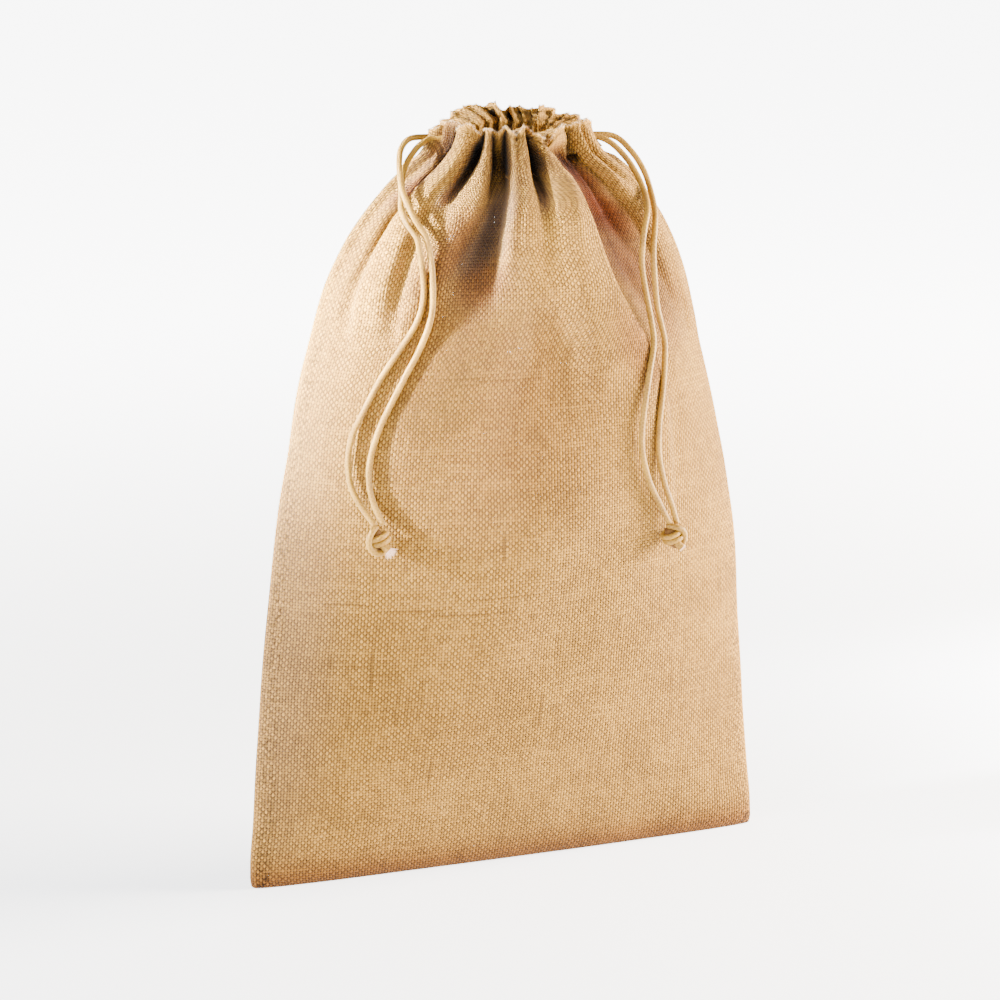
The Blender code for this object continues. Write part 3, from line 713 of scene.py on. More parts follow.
@dataclass
class SackForm:
    """The shape in which the cloth stands: the plain sack, its folds and its gathered mouth."""

    tip_from: float = 365.0       # height at which the cloth begins to tip with the mouth
    tip_full: float = 400.0
    bulge: float = 0.3            # how far a fold bulges over its trough, for each mm of its height
    most_bulge: float = 1.6
    cord_room: tuple[tuple[float, float], ...] = (    # height, the cords' offset from the plain sack
        (372.0, -34.0), (385.0, -28.0), (392.0, -21.0), (397.0, -17.5), (400.0, -16.0),
        (404.0, -15.5), (409.0, -15.0), (413.0, -14.0))
    cord_berth: float = 2.7       # from the cords' centreline to the cloth on either side
    berth_blur: float = 1.2       # how softly the folds end there
    lining_gap: float = 1.7       # from the outer cloth in to the turned-in hem
    lining_dip: float = 5.0       # how much further in that lies in the troughs
    lining_bulge: float = 0.4     # share of the folds' bulge that it keeps
    rim_wave: float = 0.35        # how far the rim wavers up and down between its points
    waves_at: float = 190.0       # height at which the slow waves are deepest
    waves_reach: float = 130.0
    flat_back: float = 0.16       # how much shallower the mouth is behind the cords
    back_lean: float = 0.38       # how far the back's pleats lean over, for each mm they stand out
    samples: int = 1800           # round the sack, before the columns are spaced evenly

    def __post_init__(self) -> None:
        """Put the front's listed folds and the back's together."""
        self.folds = [*FRONT_FOLDS, *self.back_folds()]
        self.girths = np.arange(self.samples) * GIRTH / self.samples

    def back_folds(self) -> list[FoldLine]:
        """Work out the back's folds, which follow a rule with seeded unevenness.

        Returns:
            The folds, from the right seam on.
        """
        lot = np.random.default_rng(BACK_SEED)
        lines = [FoldLine("right_seam", 1.4, (
            (413, 300, 3.5), (400, 300, 4.5), (380, 300, 6.5), (357, 300, 7), (342, 300, 6),
            (325, 300, 3.8), (305, 300, 1.2), (280, 300, -0.8), (250, 300, -1), (210, 300, 0)))]
        for i, (girth, rise, breadth) in enumerate(BACK_FOLDS):
            drift = (girth - 1.5 * PANEL) * 0.06 + lot.uniform(-6.0, 6.0)
            end = lot.uniform(225.0, 320.0)
            lines.append(FoldLine(f"back_fold_{i}", breadth, (
                (413, girth, rise), (402, girth, rise), (388, girth, rise),
                (372, girth + 0.3 * drift, 0.9 * rise), (352, girth + 0.6 * drift, 0.5 * rise),
                (0.5 * (352 + end), girth + drift, 0.2 * rise), (end, girth + drift, 0))))
        return lines

    def section(self, height: float) -> Section:
        """Read the plain sack's section at a height."""
        heights, *columns = zip(*((row.height, row.half_width, row.half_depth, row.roundness,
                                   row.shift) for row in SECTIONS))
        return Section(height, *(float(eased(height, heights, column)) for column in columns))

    def plain(self, height: float) -> tuple[np.ndarray, np.ndarray]:
        """Outline of the plain sack at a height, evenly spaced, and its outward normals.

        Args:
            height: the level.

        Returns:
            Places and normals in the level plane, a row for each sample.
        """
        at = self.section(height)
        angle = np.linspace(0.0, math.pi, 2 * self.samples + 1)
        half = np.stack([-at.half_width * np.cos(angle),
                         -at.half_depth * np.sin(angle) ** (2.0 * at.roundness)], axis=1)
        run = distances(half)
        front = resampled(half, run, np.linspace(0.0, run[-1], self.samples // 2 + 1))
        outline = np.concatenate([front[:-1], front[::-1][:-1] * (1.0, -1.0)])
        outline[:, 0] += at.shift
        near_mouth = eased(height, [365.0, 395.0], [0.0, 1.0])
        outline[:, 1] *= np.where(outline[:, 1] > 0.0, 1.0 - self.flat_back * near_mouth, 1.0)
        return outline, outward(outline, 6)

    def fold_offsets(self, height: float) -> tuple[np.ndarray, np.ndarray]:
        """Work out how the folds move the samples of a level.

        Args:
            height: the level on the plain sack.

        Returns:
            How far each sample stands out, and how far it bulges sideways over a trough.
        """
        lines = sorted((*line.at(height), line.breadth) for line in self.folds)
        lines.append((lines[0][0] + GIRTH, *lines[0][1:]))
        places, rises, breadths = (np.array(column) for column in zip(*lines))
        girths = np.where(self.girths < places[0], self.girths + GIRTH, self.girths)
        k = np.clip(np.searchsorted(places, girths, side="right") - 1, 0, len(places) - 2)
        gap = np.maximum(places[k + 1] - places[k], 1e-6)
        t = np.clip((girths - places[k]) / gap, 0.0, 1.0)
        fall = rises[k] - rises[k + 1]
        across = gap * self.gathered(height)
        bulge = np.clip(np.minimum(self.bulge * np.abs(fall), 0.5 * across - 1.1), 0.0,
                        self.most_bulge)
        sideways = np.sign(fall) * bulge * np.sin(math.pi * t)
        near, far = t ** breadths[k], (1.0 - t) ** breadths[k + 1]
        t = near / (near + far)
        return rises[k] - fall * (0.5 - 0.5 * np.cos(math.pi * t)), sideways

    def gathered(self, height: float) -> float:
        """Share of its flat girth that the plain sack has at a height."""
        at = self.section(height)
        return (math.pi * math.sqrt(0.5 * (at.half_width ** 2 + at.half_depth ** 2)) * 2.0) / GIRTH

    def ripples(self, height: float) -> np.ndarray:
        """Small unevenness of the cloth: puckers under the hem and slow waves over the body.

        Args:
            height: the level on the plain sack.

        Returns:
            How far each sample stands out.
        """
        lot = np.random.default_rng(RIPPLE_SEED)
        turn = self.girths * TURN / GIRTH
        total = np.zeros(self.samples)
        for count, size, fall in PUCKERS:
            phase, lean = lot.uniform(0.0, TURN), lot.uniform(-0.02, 0.02)
            strength = math.exp(-((height - STITCH_LEVEL + 4.0) / fall) ** 2)
            total += size * strength * np.sin(count * turn + phase + lean * height)
        slow = math.exp(-((height - self.waves_at) / self.waves_reach) ** 2)
        for count, size, rate in SLOW_WAVES:
            phase, second = lot.uniform(0.0, TURN, 2)
            total += size * slow * np.sin(count * turn + phase) * math.cos(rate * height + second)
        return total

    def outer(self, height: float) -> np.ndarray:
        """Outward offsets of the outer cloth at a level, which leave the cords their room.

        Args:
            height: the level on the plain sack.

        Returns:
            An offset for each sample.
        """
        offset = self.fold_offsets(height)[0] + self.ripples(height)
        least = eased(height, *zip(*self.cord_room)) + self.cord_berth
        return least + self.berth_blur * np.logaddexp(0.0, (offset - least) / self.berth_blur)

    def lining(self, height: float) -> np.ndarray:
        """Outward offsets of the turned-in hem, which passes inside the cords.

        Args:
            height: the level on the plain sack.

        Returns:
            An offset for each sample.
        """
        offset = self.outer(height)
        sunk = np.clip((4.0 - offset) / 12.0, 0.0, 1.0)       # 0 on a crest and 1 deep in a trough
        inside = eased(height, *zip(*self.cord_room)) - self.cord_berth - self.lining_dip * sunk
        share = eased(height, [388.0, 395.0, 408.0, 413.0], [0.0, 1.0, 1.0, 0.0])
        near = offset - self.lining_gap
        return near + (np.minimum(inside, near) - near) * share

    def rise(self, height: float, outline: np.ndarray) -> np.ndarray:
        """Heights of the samples of a level, on the tipped and ruffled mouth.

        Args:
            height: the level on the plain sack.
            outline: the plain sack's outline there.

        Returns:
            A height for each sample.
        """
        share = eased(height, [STITCH_LEVEL - 6.0, MOUTH], [0.0, 1.0]) ** 1.3
        ruffled = -eased(self.girths, *zip(*RIM_DROPS))
        ruffled += self.rim_wave * np.sin(0.71 * self.girths + 2.1 * np.sin(0.05 * self.girths))
        tip = min(1.0, max(0.0, (height - self.tip_from) / (self.tip_full - self.tip_from)))
        return height + share * ruffled + TIP * outline[:, 1] * tip

    def level(self, height: float, lining: bool = False, inset: float = 0.0) -> np.ndarray:
        """Places of the samples round one level of the cloth.

        Args:
            height: the level on the plain sack.
            lining: whether the turned-in hem is meant.
            inset: how much further in, for the rolled edge between the two.

        Returns:
            Points in millimetres, a row for each sample.
        """
        outline, normal = self.plain(height)
        outer = self.outer(height)
        offset = self.lining(height) if lining else outer
        sideways = self.fold_offsets(height)[1] * (self.lining_bulge if lining else 1.0)
        leaning = eased(height, [372.0, 400.0], [0.0, self.back_lean])
        behind = below(np.abs(self.girths - 1.5 * PANEL), 95.0, 10.0)
        sideways = sideways - leaning * behind * (outer + 4.0)
        tucked = eased(height, [388.0, 409.0], [0.0, 1.0])
        for girth, half, shift in OVERLAPS:
            sideways = sideways + tucked * shift * hump(self.girths, girth, half)
        along = np.stack([-normal[:, 1], normal[:, 0]], axis=1)
        across = outline + normal * (offset - inset)[:, None] + along * sideways[:, None]
        return np.column_stack([across, self.rise(height, outline)])


# --------------------------------------------------------------------------- pieces


@dataclass(frozen=True)
class Patch:
    """A place where the cloth is thinner than the rest, or has painted shade with its reddish cast, or
    painted light.
    """

    girth: float
    height: float
    half_girth: float
    half_height: float
    lean: float           # girth gained for each millimetre of height
    tone: float           # painted shade below 0 and painted light above, added to a brightness of 1
    sheer: float
    # share of the reddish cast of painted shade
    shade_warmth: float


# Most patches are painted shade, in the pockets, slits, recesses and cord openings; a few are painted
# light.
PATCHES = tuple(Patch(*row) for row in (
    (110, 362, 12, 20, 0.25, -0.6, 0.75, 0.25), (104, 349, 16, 14, 0.5, -0.44, 0.7, 0.3),
    (92, 318, 34, 58, 0.2, -0.24, 0, 0.25), (108, 296, 28, 52, 0.2, -0.18, 0, 0.1),
    (86, 262, 24, 46, 0.2, -0.2, 0, 0.12), (36, 340, 24, 42, 0, 0.3, 0, 0),
    (8, 150, 32, 130, 0, 0.14, 0.22, 0), (216, 292, 18, 26, -0.4, -0.28, 0, 0.4),
    (255, 325, 16, 24, -0.3, -0.16, 0, 0.3), (106, 333, 20, 16, 0.25, -0.2, 0.2, 0.55),
    (82, 350, 15, 24, 0.5, -0.26, 0.1, 0.5), (220, 386, 22, 15, -0.8, -0.36, 0, 1),
    (226, 366, 25, 24, -0.6, -0.4, 0.1, 1), (213, 362, 9, 14, -0.55, -0.1, 0.35, 0.85),
    (231, 340, 23, 30, -0.5, -0.26, 0.2, 0.62), (226, 336, 10, 16, -0.5, -0.1, 0.35, 0.62),
    (241, 315, 18, 26, -0.4, -0.08, 0.2, 0.35), (88, 401, 9, 17, 0, -0.36, 0, 0.1),
    (127, 398, 13, 20, 0, -0.44, 0, 0.1), (73, 399, 6, 10, 0.7, -0.85, 0, 0.3),
    (159, 398, 8.5, 11, 0.2, -0.88, 0, 0.3), (100, 396, 5, 14, -0.1, -0.42, 0, 0.3),
    (118, 396, 5, 14, 0, -0.42, 0, 0.3), (64, 381, 7, 8, 0.5, -0.18, 0.5, 0.35),
    (153, 380, 6, 9, 0.1, -0.25, 0.5, 0.35), (24, 402, 21, 13, 0.5, -0.38, 0.2, 0.4),
    (24, 384, 12, 12, 0.8, -0.3, 0.3, 0.7), (160, 348, 24, 30, -0.2, 0.28, 0, 0),
    (135, 262, 62, 62, 0, -0.1, 0, 0.2), (0, 403.6, 5, 3.5, 0, -0.8, 0, 0),
    (300, 400, 6, 3.5, 0, -0.8, 0, 0),
))


@dataclass(frozen=True)
class FibreTuft:
    """Short fibres that stand out from a surface, placed on it by Geometry Nodes."""

    number: int
    length: float
    radius: float
    spread: float         # radians by which a fibre leans at most
    seed: int = 4
    # Combed-out cotton, without its wax: paler than the cord, dry and matt.
    finish: PlainFinish = PlainFinish("cut_cord_fibres", "E6CBB0", "C89C7C")
    shortest: float = 0.45        # of the length
    longest: float = 1.15

    def tree(self) -> NodeTree:
        """Build the node tree that scatters tapered fibres over its input mesh.

        Returns:
            The tree, whose inputs are named for their sizes.
        """
        tree = bpy.data.node_groups.new("fibre_tuft", "GeometryNodeTree")
        for name, way, kind in (("Surface", "INPUT", "Geometry"), ("Density", "INPUT", "Float"),
                                ("Length", "INPUT", "Float"), ("Radius", "INPUT", "Float"),
                                ("Spread", "INPUT", "Float"), ("Seed", "INPUT", "Int"),
                                ("Fibres", "OUTPUT", "Geometry")):
            tree.interface.new_socket(name, in_out=way, socket_type=f"NodeSocket{kind}")
        add = partial(add_node, tree)
        given = add("NodeGroupInput").outputs
        points = add("GeometryNodeDistributePointsOnFaces", {
            "Mesh": given["Surface"], "Density": given["Density"], "Seed": given["Seed"]})
        cone = add("GeometryNodeMeshCone", {"Vertices": 4, "Radius Bottom": given["Radius"],
                                            "Depth": given["Length"]})
        back = add("ShaderNodeMath", {0: given["Spread"], 1: -1.0}, operation="MULTIPLY")
        low = add("ShaderNodeCombineXYZ", {0: back, 1: back})
        high = add("ShaderNodeCombineXYZ", {0: given["Spread"], 1: given["Spread"], 2: 6.28})
        lean = add("FunctionNodeRandomValue", {0: low, 1: high, "Seed": given["Seed"]},
                   data_type="FLOAT_VECTOR")
        size = add("FunctionNodeRandomValue", {2: self.shortest, 3: self.longest,
                                               "Seed": given["Seed"]}, data_type="FLOAT")
        leaned = add("FunctionNodeEulerToRotation", {0: lean})
        turned = add("FunctionNodeRotateRotation", {0: points.outputs["Rotation"], 1: leaned},
                     rotation_space="LOCAL")
        placed = add("GeometryNodeInstanceOnPoints", {
            "Points": points, "Instance": cone, "Rotation": turned, "Scale": size.outputs[1]})
        real = add("GeometryNodeRealizeInstances", {"Geometry": placed})
        coloured = add("GeometryNodeSetMaterial", {"Geometry": real,
                                                   "Material": self.finish.build()})
        add("NodeGroupOutput", {"Fibres": coloured})
        return tree

    def grow(self, base: Object, area: float) -> Object:
        """Turn a base mesh into the fibres that stand on it.

        Args:
            base: the surface, which is used up.
            area: its area in square millimetres.

        Returns:
            The fibres as one plain mesh.
        """
        modifier = base.modifiers.new("fibres", "NODES")
        modifier.node_group = self.tree()
        sizes = {"Density": self.number / area * 1e6, "Length": self.length * MM,
                 "Radius": self.radius * MM, "Spread": self.spread, "Seed": self.seed}
        for item in modifier.node_group.interface.items_tree:
            if item.in_out == "INPUT" and item.name in sizes:
                modifier[item.identifier] = sizes[item.name]
        ready = base.evaluated_get(bpy.context.evaluated_depsgraph_get())
        mesh = bpy.data.meshes.new_from_object(ready)
        base.modifiers.remove(modifier)
        base.data = mesh
        return base

    def make(self, name: str, place: np.ndarray, out: np.ndarray, reach: float) -> Object:
        """Grow a tuft on a small disc.

        Args:
            name: the tuft's name.
            place: the disc's centre in millimetres.
            out: the way its fibres point.
            reach: the disc's radius.

        Returns:
            The tuft.
        """
        side = np.cross(out, (0.0, 1.0, 0.0))
        side /= np.linalg.norm(side)
        turn = np.linspace(0.0, TURN, 12, endpoint=False)
        ring = np.outer(np.cos(turn), side) + np.outer(np.sin(turn), np.cross(out, side))
        base = mesh_piece(name, place + reach * ring, [tuple(range(12))])
        return self.grow(base, 3.0 * reach ** 2)


@dataclass
class SackCloth:
    """The sack itself: one sheet of burlap, folded at the foot, seamed and hemmed."""

    form: SackForm
    strands: list[np.ndarray]
    finish: BurlapFinish = BurlapFinish()
    columns: int = 384
    floor_rows: int = 6
    row_heights: tuple[tuple[float, float], ...] = (  # the rows' height, by their level
        (0.0, 1.5), (3.0, 4.0), (12.0, 6.5), (250.0, 5.2), (330.0, 3.0), (372.0, 1.9), (413.0, 1.7))
    rolled_edge: tuple[tuple[float, float], ...] = (  # height over the mouth, and inset
        (0.45, 0.35), (0.6, 0.85), (0.45, 1.35))
    lining_heights: tuple[float, ...] = (412.0, 410.0, 407.5, 405.0, 402.0, 398.5, 394.5, 391.0,
                                         388.0)
    crowding: float = 0.75        # share of the gathered cloth's spare width that the troughs hide
    cord_seat: float = 1.75       # from a cord's centreline to the cloth under it
    hanging: tuple[float, float] = (200.0, 396.0)     # levels between which the strands lie on it
    dent: float = 14.0            # how widely the cloth gives way beside a cord
    dent_reach: float = 9.0
    most_dent: float = 6.0
    mouth_shade: tuple[tuple[float, float], ...] = (  # share of the painted shade in a hollow, by level
        (250.0, 0.0), (330.0, 0.12), (366.0, 0.20), (378.0, 0.28), (388.0, 0.70), (394.0, 1.0))
    hollow_from: float = 0.6      # how deep a hollow is where its painted shade begins
    hollow_span: float = 3.6      # and how much deeper where it is full
    darkest: float = 0.93         # brightness that the painted shade takes away there
    lining_shade: float = 0.55    # share of it on the lining, where light comes through the cloth
    # painted light on the lining, where light comes through the cloth
    lining_light: float = 1.45
    rim_light: float = 1.9        # painted highlight: brightness of the rolled edge
    foot_dark: float = 0.42       # brightness lost to painted shade along the front's curled-under foot
    # share of the reddish cast of that painted shade
    foot_shade_warmth: float = 0.55
    # Single jute fibres, which light shines through: paler than the yarn, and matt.
    fray: FibreTuft = FibreTuft(2200, 1.5, 0.07, 0.95, 7,
                                PlainFinish("loose_jute_fibres", "ECD4AE", "C29A62"))

    def heights(self) -> list[float]:
        """Levels of the outer cloth's rows, closer together towards the mouth.

        Returns:
            The levels, from the foot to the mouth.
        """
        found = [0.0]
        while found[-1] < MOUTH - 0.01:
            step = np.interp(found[-1], *zip(*self.row_heights))
            found.append(min(MOUTH, found[-1] + float(step)))
        return found

    def spaced(self, ring: np.ndarray, height: float) -> np.ndarray:
        """Space the columns along each panel of a level, a little closer in its troughs.

        Args:
            ring: a level's samples.
            height: the level on the plain sack.

        Returns:
            Each column's place and, last, its girth.
        """
        ring = np.column_stack([ring, self.form.girths, self.form.outer(height)])
        closed = np.concatenate([ring, ring[:1] + (0.0, 0.0, 0.0, GIRTH, 0.0)])
        half = len(ring) // 2
        count = self.columns // 2
        found = []
        for side in (closed[:half + 1], closed[half:]):
            steps = np.linalg.norm(np.diff(side[:, :3], axis=0), axis=1)
            sunk = np.clip((1.0 - side[:-1, 4]) / 8.0, 0.0, 1.5) * steps
            spare = max(0.0, PANEL - steps.sum()) * self.crowding
            steps += sunk * min(3.0, spare / max(sunk.sum(), 1.0))
            run = np.concatenate([[0.0], np.cumsum(steps)])
            found.append(resampled(side[:, :4], run, np.arange(count) * run[-1] / count))
        return np.concatenate(found)

    def rows(self) -> tuple[np.ndarray, np.ndarray, np.ndarray]:
        """All rows of the cloth, from the foot over the mouth's edge and down the lining.

        Returns:
            Points as rows by columns by three, their girths and each row's level.
        """
        levels = [(height, False, 0.0) for height in self.heights()]
        levels += [(MOUTH + over, False, inset) for over, inset in self.rolled_edge]
        levels += [(height, True, 0.0) for height in self.lining_heights]
        rings = []
        for height, lining, inset in levels:
            level = min(height, MOUTH)
            ring = self.form.level(level, lining, inset) + (0.0, 0.0, max(0.0, height - MOUTH))
            rings.append(self.spaced(ring, level))
        rings = np.stack(rings)
        return rings[..., :3], rings[..., 3], np.array([row[0] for row in levels])

    def make(self) -> Object:
        """Build the sheet, paint its attributes and give it its thickness.

        Returns:
            The cloth.
        """
        points, girths, levels = self.rows()
        points = self.settled(points, levels)
        count, columns = points.shape[:2]
        half = columns // 2
        steps = np.linalg.norm(np.diff(points, axis=0), axis=2)
        up = np.concatenate([[0.0], np.cumsum(steps.mean(axis=1))])
        foot = np.abs(points[0, :, 1]).max()
        floor = [points[0, 1:half] * (1.0 - t) + points[0, -1:half:-1] * t
                 for t in np.arange(1, self.floor_rows) / self.floor_rows]
        across = PANEL / half
        faces, quads = band(count, columns)
        uvs = []
        for quad in quads:
            if quad[0][1] < half:
                uvs += [(c * across, foot + up[r]) for r, c in quad]
            else:
                uvs += [(GIRTH - c * across, -(foot + up[r])) for r, c in quad]

        def floor_vertex(row: int, column: int) -> int:
            """Number of a vertex of the underside, whose ends are the seams' own."""
            if column in (0, half) or row == 0:
                return column
            if row == self.floor_rows:
                return columns - column
            return count * columns + (row - 1) * (half - 1) + column - 1

        for row in range(self.floor_rows):
            for c in range(half):
                corners = [(row, c), (row + 1, c), (row + 1, c + 1), (row, c + 1)]
                numbers = [floor_vertex(*corner) for corner in corners]
                kept = [i for i in range(4) if numbers[i] not in numbers[:i]]
                faces.append(tuple(numbers[i] for i in kept))
                uvs += [(corners[i][1] * across, foot * (1.0 - 2.0 * corners[i][0] / self.floor_rows))
                        for i in kept]
        cloth = mesh_piece("sack_cloth", np.concatenate([points.reshape(-1, 3), *floor]), faces,
                           np.array(uvs) * MM)
        self.paint(cloth.data, points, girths, levels)
        wall = cloth.modifiers.new("thickness", "SOLIDIFY")
        wall.thickness = BURLAP * MM
        wall.offset = -1.0
        cloth.data.materials.append(self.finish.build())
        return cloth

    def frayed(self) -> Object:
        """Grow the short loose fibres that stand up along the mouth's rolled edge.

        Returns:
            The fibres.
        """
        points, _, levels = self.rows()
        first = int(np.argmax(levels >= MOUTH))
        strip = points[first:first + len(self.rolled_edge) + 1]
        base = mesh_piece("rim_fibres", strip.reshape(-1, 3), band(*strip.shape[:2])[0])
        area = sum(face.area for face in base.data.polygons) / MM ** 2
        return self.fray.grow(base, area)

    def settled(self, points: np.ndarray, levels: np.ndarray) -> np.ndarray:
        """Press the cloth in where a strand lies on it, with a soft dent beside the cord.

        Args:
            points: the rows of the cloth.
            levels: each row's level on the plain sack.

        Returns:
            The rows, with the dents made.
        """
        rows = np.flatnonzero((levels > self.hanging[0]) & (levels < self.hanging[1]))
        rows = rows[rows < int(np.argmax(levels >= MOUTH))]
        normal = outward(points, 3)
        for route in self.strands:
            for row in rows:
                away = route[None] - points[row][:, None]
                out = (away[..., :2] * normal[row][:, None]).sum(axis=2)
                aside = np.sqrt(np.maximum((away ** 2).sum(axis=2) - out ** 2, 0.0))
                short = self.cord_seat - aside ** 2 / self.dent - out
                near = (aside < self.dent_reach) & (out > -self.most_dent - 1.0)
                deep = np.clip(np.where(near, short, 0.0).max(axis=1), 0.0, self.most_dent)
                points[row, :, :2] -= normal[row] * deep[:, None]
        return points

    def hollows(self, points: np.ndarray, levels: np.ndarray) -> np.ndarray:
        """How deep each place lies between the folds beside it, in millimetres.

        Args:
            points: the rows of the cloth.
            levels: each row's level on the plain sack.

        Returns:
            A depth for each point, below 0 on a crest.
        """
        reach = self.columns // 30
        weights = np.hanning(4 * reach + 3)[1:-1]
        weights /= weights.sum()
        flat = points[..., :2]
        mean = sum(weight * np.roll(flat, shift, axis=1)
                   for weight, shift in zip(weights, range(-2 * reach, 2 * reach + 1)))
        proud = ((flat - mean) * outward(mean, 2)).sum(axis=2)
        lining = np.arange(len(levels)) > int(np.argmax(levels >= MOUTH)) + 2
        return np.where(lining[:, None], proud, -proud)

    def paint(self, mesh: Mesh, points: np.ndarray, girths: np.ndarray, levels: np.ndarray) -> None:
        """Paint as point attributes where the cloth is sheer, and its painted shade, painted light and
        the reddish cast of painted shade.

        Args:
            mesh: the cloth's mesh, whose first vertices are the rows' points.
            points: the rows of the cloth.
            girths: the points' girths.
            levels: each row's level on the plain sack.
        """
        extra = len(mesh.vertices) - girths.size
        height = np.repeat(levels, points.shape[1])
        # Painted shade in the hollows between the folds, stronger towards the mouth.
        deep = (self.hollows(points, levels).ravel() - self.hollow_from) / self.hollow_span
        shade = np.clip(deep, 0.0, 1.0) ** 0.8 * np.interp(height, *zip(*self.mouth_shade))
        # The lining gets less painted shade and is painted lighter, as light comes through the cloth.
        inside = np.arange(girths.size) > (np.argmax(levels >= MOUTH) + 3) * points.shape[1]
        shade *= np.where(inside, self.lining_shade, 1.0)
        tone = (1.0 - self.darkest * shade) * np.where(inside, self.lining_light, 1.0)
        tone = np.concatenate([tone, np.ones(extra)])
        girth = np.concatenate([girths.ravel(), np.full(extra, PANEL / 2.0)])
        height = np.concatenate([height, np.zeros(extra)])
        # A painted highlight along the rolled edge.
        tone += (self.rim_light - tone) * hump(height, MOUTH + 0.4, 1.7)
        sheer, shade_warmth = np.zeros(len(tone)), np.zeros(len(tone))
        # Patch by patch: painted shade and light, sheerness and the reddish cast of shade.
        for patch in PATCHES:
            middle = patch.girth + patch.lean * (height - patch.height)
            away = ((girth - middle) / patch.half_girth) ** 2 + (
                (height - patch.height) / patch.half_height) ** 2
            weight = np.exp(-away ** 1.5)
            tone *= 1.0 + patch.tone * weight
            sheer = np.maximum(sheer, patch.sheer * weight)
            shade_warmth = np.maximum(shade_warmth, patch.shade_warmth * weight)
        seam = np.abs((girth + PANEL / 2.0) % PANEL - PANEL / 2.0)
        doubled = below(seam, SEAM_ALLOWANCE, 0.8) * below(height, 330.0, 14.0)
        edge = hump(seam, 0.0, 3.0)
        # Painted shade, with its reddish cast, along the front's lower edge, where it curls under.
        foot = hump(height, 0.0, 13.0) * (girth < PANEL)
        tone *= (1.0 + 0.04 * doubled) * (1.0 + 0.6 * edge * doubled) * (1.0 - self.foot_dark * foot)
        for name, value in (("tone", tone), ("sheer", sheer), ("seam", doubled * (1.0 - edge)),
                            ("shade_warmth", np.maximum(shade_warmth, self.foot_shade_warmth * foot))):
            attribute = mesh.attributes.new(name, "FLOAT", "POINT")
            attribute.data.foreach_set("value", value.astype(np.float32))


@dataclass(frozen=True)
class Drawcord:
    """A cord through the channel, whose two strands hang down the front to one knot."""

    side: Side
    level: float
    front_strand: tuple[Point, ...]
    back_strand: tuple[Point, ...]
    knot: Point
    knot_arc: tuple[Point, ...]   # the turn over the knot, from its middle
    stub_fibres: FibreTuft        # on the cut end
    ring_half_width: float = 33.5
    ring_half_depth: float = 20.0
    ring_shift: float = 2.0
    strand_gap: float = 2.1       # from a strand to the middle of the pair
    exit_reach: float = 44.0


LEFT_CORD = Drawcord(
    Side.LEFT, 404.2,
    ((-50.5, -5, 401.5), (-57.5, -9.5, 396.5), (-62.5, -13, 391), (-65, -16.5, 386), (-67, -20.5, 379),
     (-69, -26, 371.5), (-68.5, -33.6, 365), (-65, -38.4, 358), (-63.5, -39.5, 349),
     (-61.5, -38.5, 335.5), (-62, -39, 325), (-65.5, -39, 314), (-73.5, -37.5, 301), (-84, -35, 285),
     (-93.5, -33, 267), (-99, -31.5, 255), (-101.5, -31.5, 242), (-101, -33.5, 228.5),
     (-96.5, -38.5, 217)),
    ((-55, -2, 404.5), (-62.5, -8.5, 400.5), (-66, -15, 394), (-67.5, -20.5, 387.5), (-68, -25, 381),
     (-65.5, -34.5, 369), (-60.5, -38.5, 359), (-58, -40.5, 347), (-57.5, -42, 331), (-59, -42.5, 316),
     (-64.5, -41.5, 301), (-73, -40, 285), (-81, -38, 269), (-87, -37, 256), (-91, -36.5, 242),
     (-92, -37, 229), (-90, -39.5, 218)),
    (-89, -44, 200),
    ((-1.5, 0.5, 7.2), (-4.4, -2.2, 6), (-6.6, -3.2, 2.2), (-6.4, -3, -2.4), (-3.4, -3.6, -5.6),
     (0.4, -3.4, -6)),
    FibreTuft(220, 4.4, 0.17, 0.85))
RIGHT_CORD = Drawcord(
    Side.RIGHT, 400.4,
    ((56, -5, 397.5), (63.5, -9.5, 390), (68.5, -14.5, 381), (70.5, -21.5, 371.5), (67, -34, 364),
     (63, -39.5, 355), (61.5, -40.5, 346), (62, -39, 335), (64, -40, 320.5), (66, -43, 305.5),
     (66, -46.5, 294), (62, -51, 281), (58, -54.2, 264), (56, -54.8, 249), (57, -53.5, 236.5),
     (62, -51, 220.5), (70, -47.5, 206)),
    ((61.5, -0.5, 399), (69.5, -6.5, 391), (74, -12.5, 381.5), (75.5, -18.5, 371.5), (73.5, -29, 362.5),
     (71, -35, 355), (69, -38, 342), (69.5, -39, 327), (71, -39.5, 312), (73, -41, 301.5),
     (74.5, -42, 292), (73.5, -43.5, 275), (71, -46, 260.5), (69, -47.5, 245), (69.5, -47.5, 231.5),
     (73, -47, 216.5), (78, -45.5, 204)),
    (79, -45.5, 185.5),
    ((-3.2, 0, 7), (0.2, -3.2, 6.6), (3.8, -3.6, 5), (5.6, -2.8, 1.6), (5.2, -2, -2.4), (2.6, -1, -5.6)),
    FibreTuft(70, 1.3, 0.17, 0.3))


